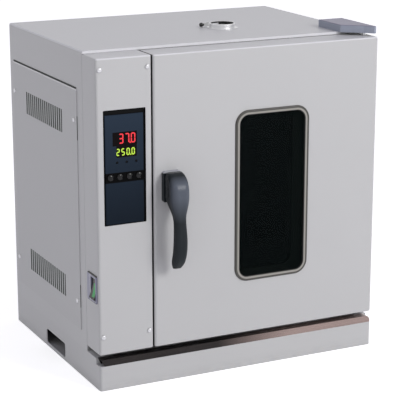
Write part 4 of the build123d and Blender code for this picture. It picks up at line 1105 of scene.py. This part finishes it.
class STERILIZER_OT_studio(bpy.types.Operator):
    """Pale floor, soft lights, white surroundings and the camera"""

    bl_idname = "sterilizer.studio"
    bl_label = "Studio"
    bl_options = {"REGISTER", "UNDO"}

    def execute(self, context):
        studio = context.scene.sterilizer_studio
        self.floor(studio.floor_lift)
        self.room(context.scene, studio.room_strength)
        self.key_light(studio.key_strength)
        self.camera(context.scene, studio)
        context.scene.view_settings.view_transform = "Standard"
        return {"FINISHED"}

    def floor(self, lift):
        """A wide sheet, pale to the camera, that still takes the cabinet's shadow."""
        start_clean()
        bpy.ops.mesh.primitive_plane_add(size=FLOOR_SIZE, location=(0, 0, -0.2 * MM))
        sheet = bpy.context.object
        sheet.name = sheet.data.name = "studio_floor"
        paper = Finish("studio_paper")
        cloud = paper.noise(1.2, 2.0)
        tone = paper.mix(cloud, (0.80, 0.80, 0.81, 1), (0.83, 0.83, 0.83, 1))
        diffuse = paper.add("ShaderNodeBsdfDiffuse", inputs={"Color": tone})
        glow = paper.add("ShaderNodeEmission", inputs={"Color": (1, 1, 1, 1), "Strength": lift})
        dark = paper.add("ShaderNodeEmission", inputs={"Strength": 0.0})
        shown = seen_directly(paper)
        lifted = paper.add("ShaderNodeMixShader", inputs={0: shown, 1: dark, 2: glow})
        paper.add_output(paper.add("ShaderNodeAddShader", inputs={0: diffuse, 1: lifted}))
        sheet.data.materials.append(paper.block)

    def room(self, scene, strength):
        """Even light from all round, bluer from straight above, and white where it is seen."""
        room = Finish("studio_room", "worlds")
        way = room.add("ShaderNodeTexCoord", output="Generated")
        height = room.add("ShaderNodeSeparateXYZ", inputs={0: way}, output="Z")
        tint = room.mix(height.above(0.7, 0.5), (1.0, 0.995, 0.99, 1), (0.93, 0.91, 1.14, 1))
        soft = room.add("ShaderNodeBackground", inputs={"Color": tint, "Strength": strength})
        white = room.add("ShaderNodeBackground", inputs={"Color": (1, 1, 1, 1), "Strength": 1.0})
        shown = seen_directly(room)
        mixed = room.add("ShaderNodeMixShader", inputs={0: shown, 1: soft, 2: white})
        room.add_output(mixed, "ShaderNodeOutputWorld")
        scene.world = room.block

    def key_light(self, power):
        """A large soft light at the front right, above the cabinet."""
        back = direction(KEY_AZIMUTH, KEY_ELEVATION)
        start_clean()
        bpy.ops.object.light_add(type="AREA", location=KEY_AIM + back * KEY_DISTANCE)
        lamp = bpy.context.object
        lamp.name = "key_light"
        lamp.data.shape = "DISK"
        lamp.data.size = KEY_SIZE
        lamp.data.energy = power
        lamp.data.color = (1.0, 0.995, 0.98)
        lamp.rotation_mode = "QUATERNION"
        lamp.rotation_quaternion = (-back).to_track_quat("-Z", "Y")

    def camera(self, scene, studio):
        """The photograph's point of view, for a square picture."""
        back = direction(studio.azimuth, studio.elevation)
        right = (-back).cross(Vector((0, 0, 1))).normalized()
        up = right.cross(-back)
        start_clean()
        bpy.ops.object.camera_add()
        camera = bpy.context.object
        camera.name = "photo_camera"
        camera.data.sensor_width = SENSOR_WIDTH
        camera.data.lens = studio.focal_pixels / PICTURE_WIDTH * SENSOR_WIDTH
        slide = right * studio.slide[0] + up * studio.slide[1]
        camera.location = Vector((0, 0, 0.325)) + slide + back * studio.distance
        camera.rotation_mode = "QUATERNION"
        camera.rotation_quaternion = (-back).to_track_quat("-Z", "Y")
        camera.data.clip_start, camera.data.clip_end = 0.1, 60.0
        scene.camera = camera


# ------------------------------------------------------------------ panel and registration
class STERILIZER_PT_sidebar(bpy.types.Panel):
    """Lists the finishing steps in their order"""

    bl_idname = "STERILIZER_PT_sidebar"
    bl_label = "Sterilizer"
    bl_space_type = "VIEW_3D"
    bl_region_type = "UI"
    bl_category = "Sterilizer"

    def draw(self, context):
        layout = self.layout
        for step in STEPS:
            layout.operator(step.bl_idname)
        for group in ("sterilizer_colours", "sterilizer_trim", "sterilizer_studio"):
            settings = getattr(context.scene, group)
            box = layout.box()
            for name in settings.__annotations__:
                box.prop(settings, name)


STEPS = (
    STERILIZER_OT_case_paint,
    STERILIZER_OT_metalwork,
    STERILIZER_OT_control_panel,
    STERILIZER_OT_power_switch,
    STERILIZER_OT_oven_interior,
    STERILIZER_OT_service_space,
    STERILIZER_OT_door_parts,
    STERILIZER_OT_process_digits,
    STERILIZER_OT_setpoint_digits,
    STERILIZER_OT_key_domes,
    STERILIZER_OT_panel_shade_strip,
    STERILIZER_OT_grub_screw,
    STERILIZER_OT_studio,
)
GROUPS = {
    "sterilizer_colours": SterilizerColours,
    "sterilizer_trim": SterilizerTrim,
    "sterilizer_studio": SterilizerStudio,
}
CLASSES = (*GROUPS.values(), *STEPS, STERILIZER_PT_sidebar)


def register():
    for cls in CLASSES:
        bpy.utils.register_class(cls)
    for name, group in GROUPS.items():
        setattr(bpy.types.Scene, name, bpy.props.PointerProperty(type=group))


def unregister():
    for name in GROUPS:
        delattr(bpy.types.Scene, name)
    for cls in reversed(CLASSES):
        bpy.utils.unregister_class(cls)


def main():
    """Runs the steps in order."""
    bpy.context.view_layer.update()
    register()
    for step in STEPS:
        group, name = step.bl_idname.split(".")
        getattr(getattr(bpy.ops, group), name)()


if __name__ == "__main__":
    main()
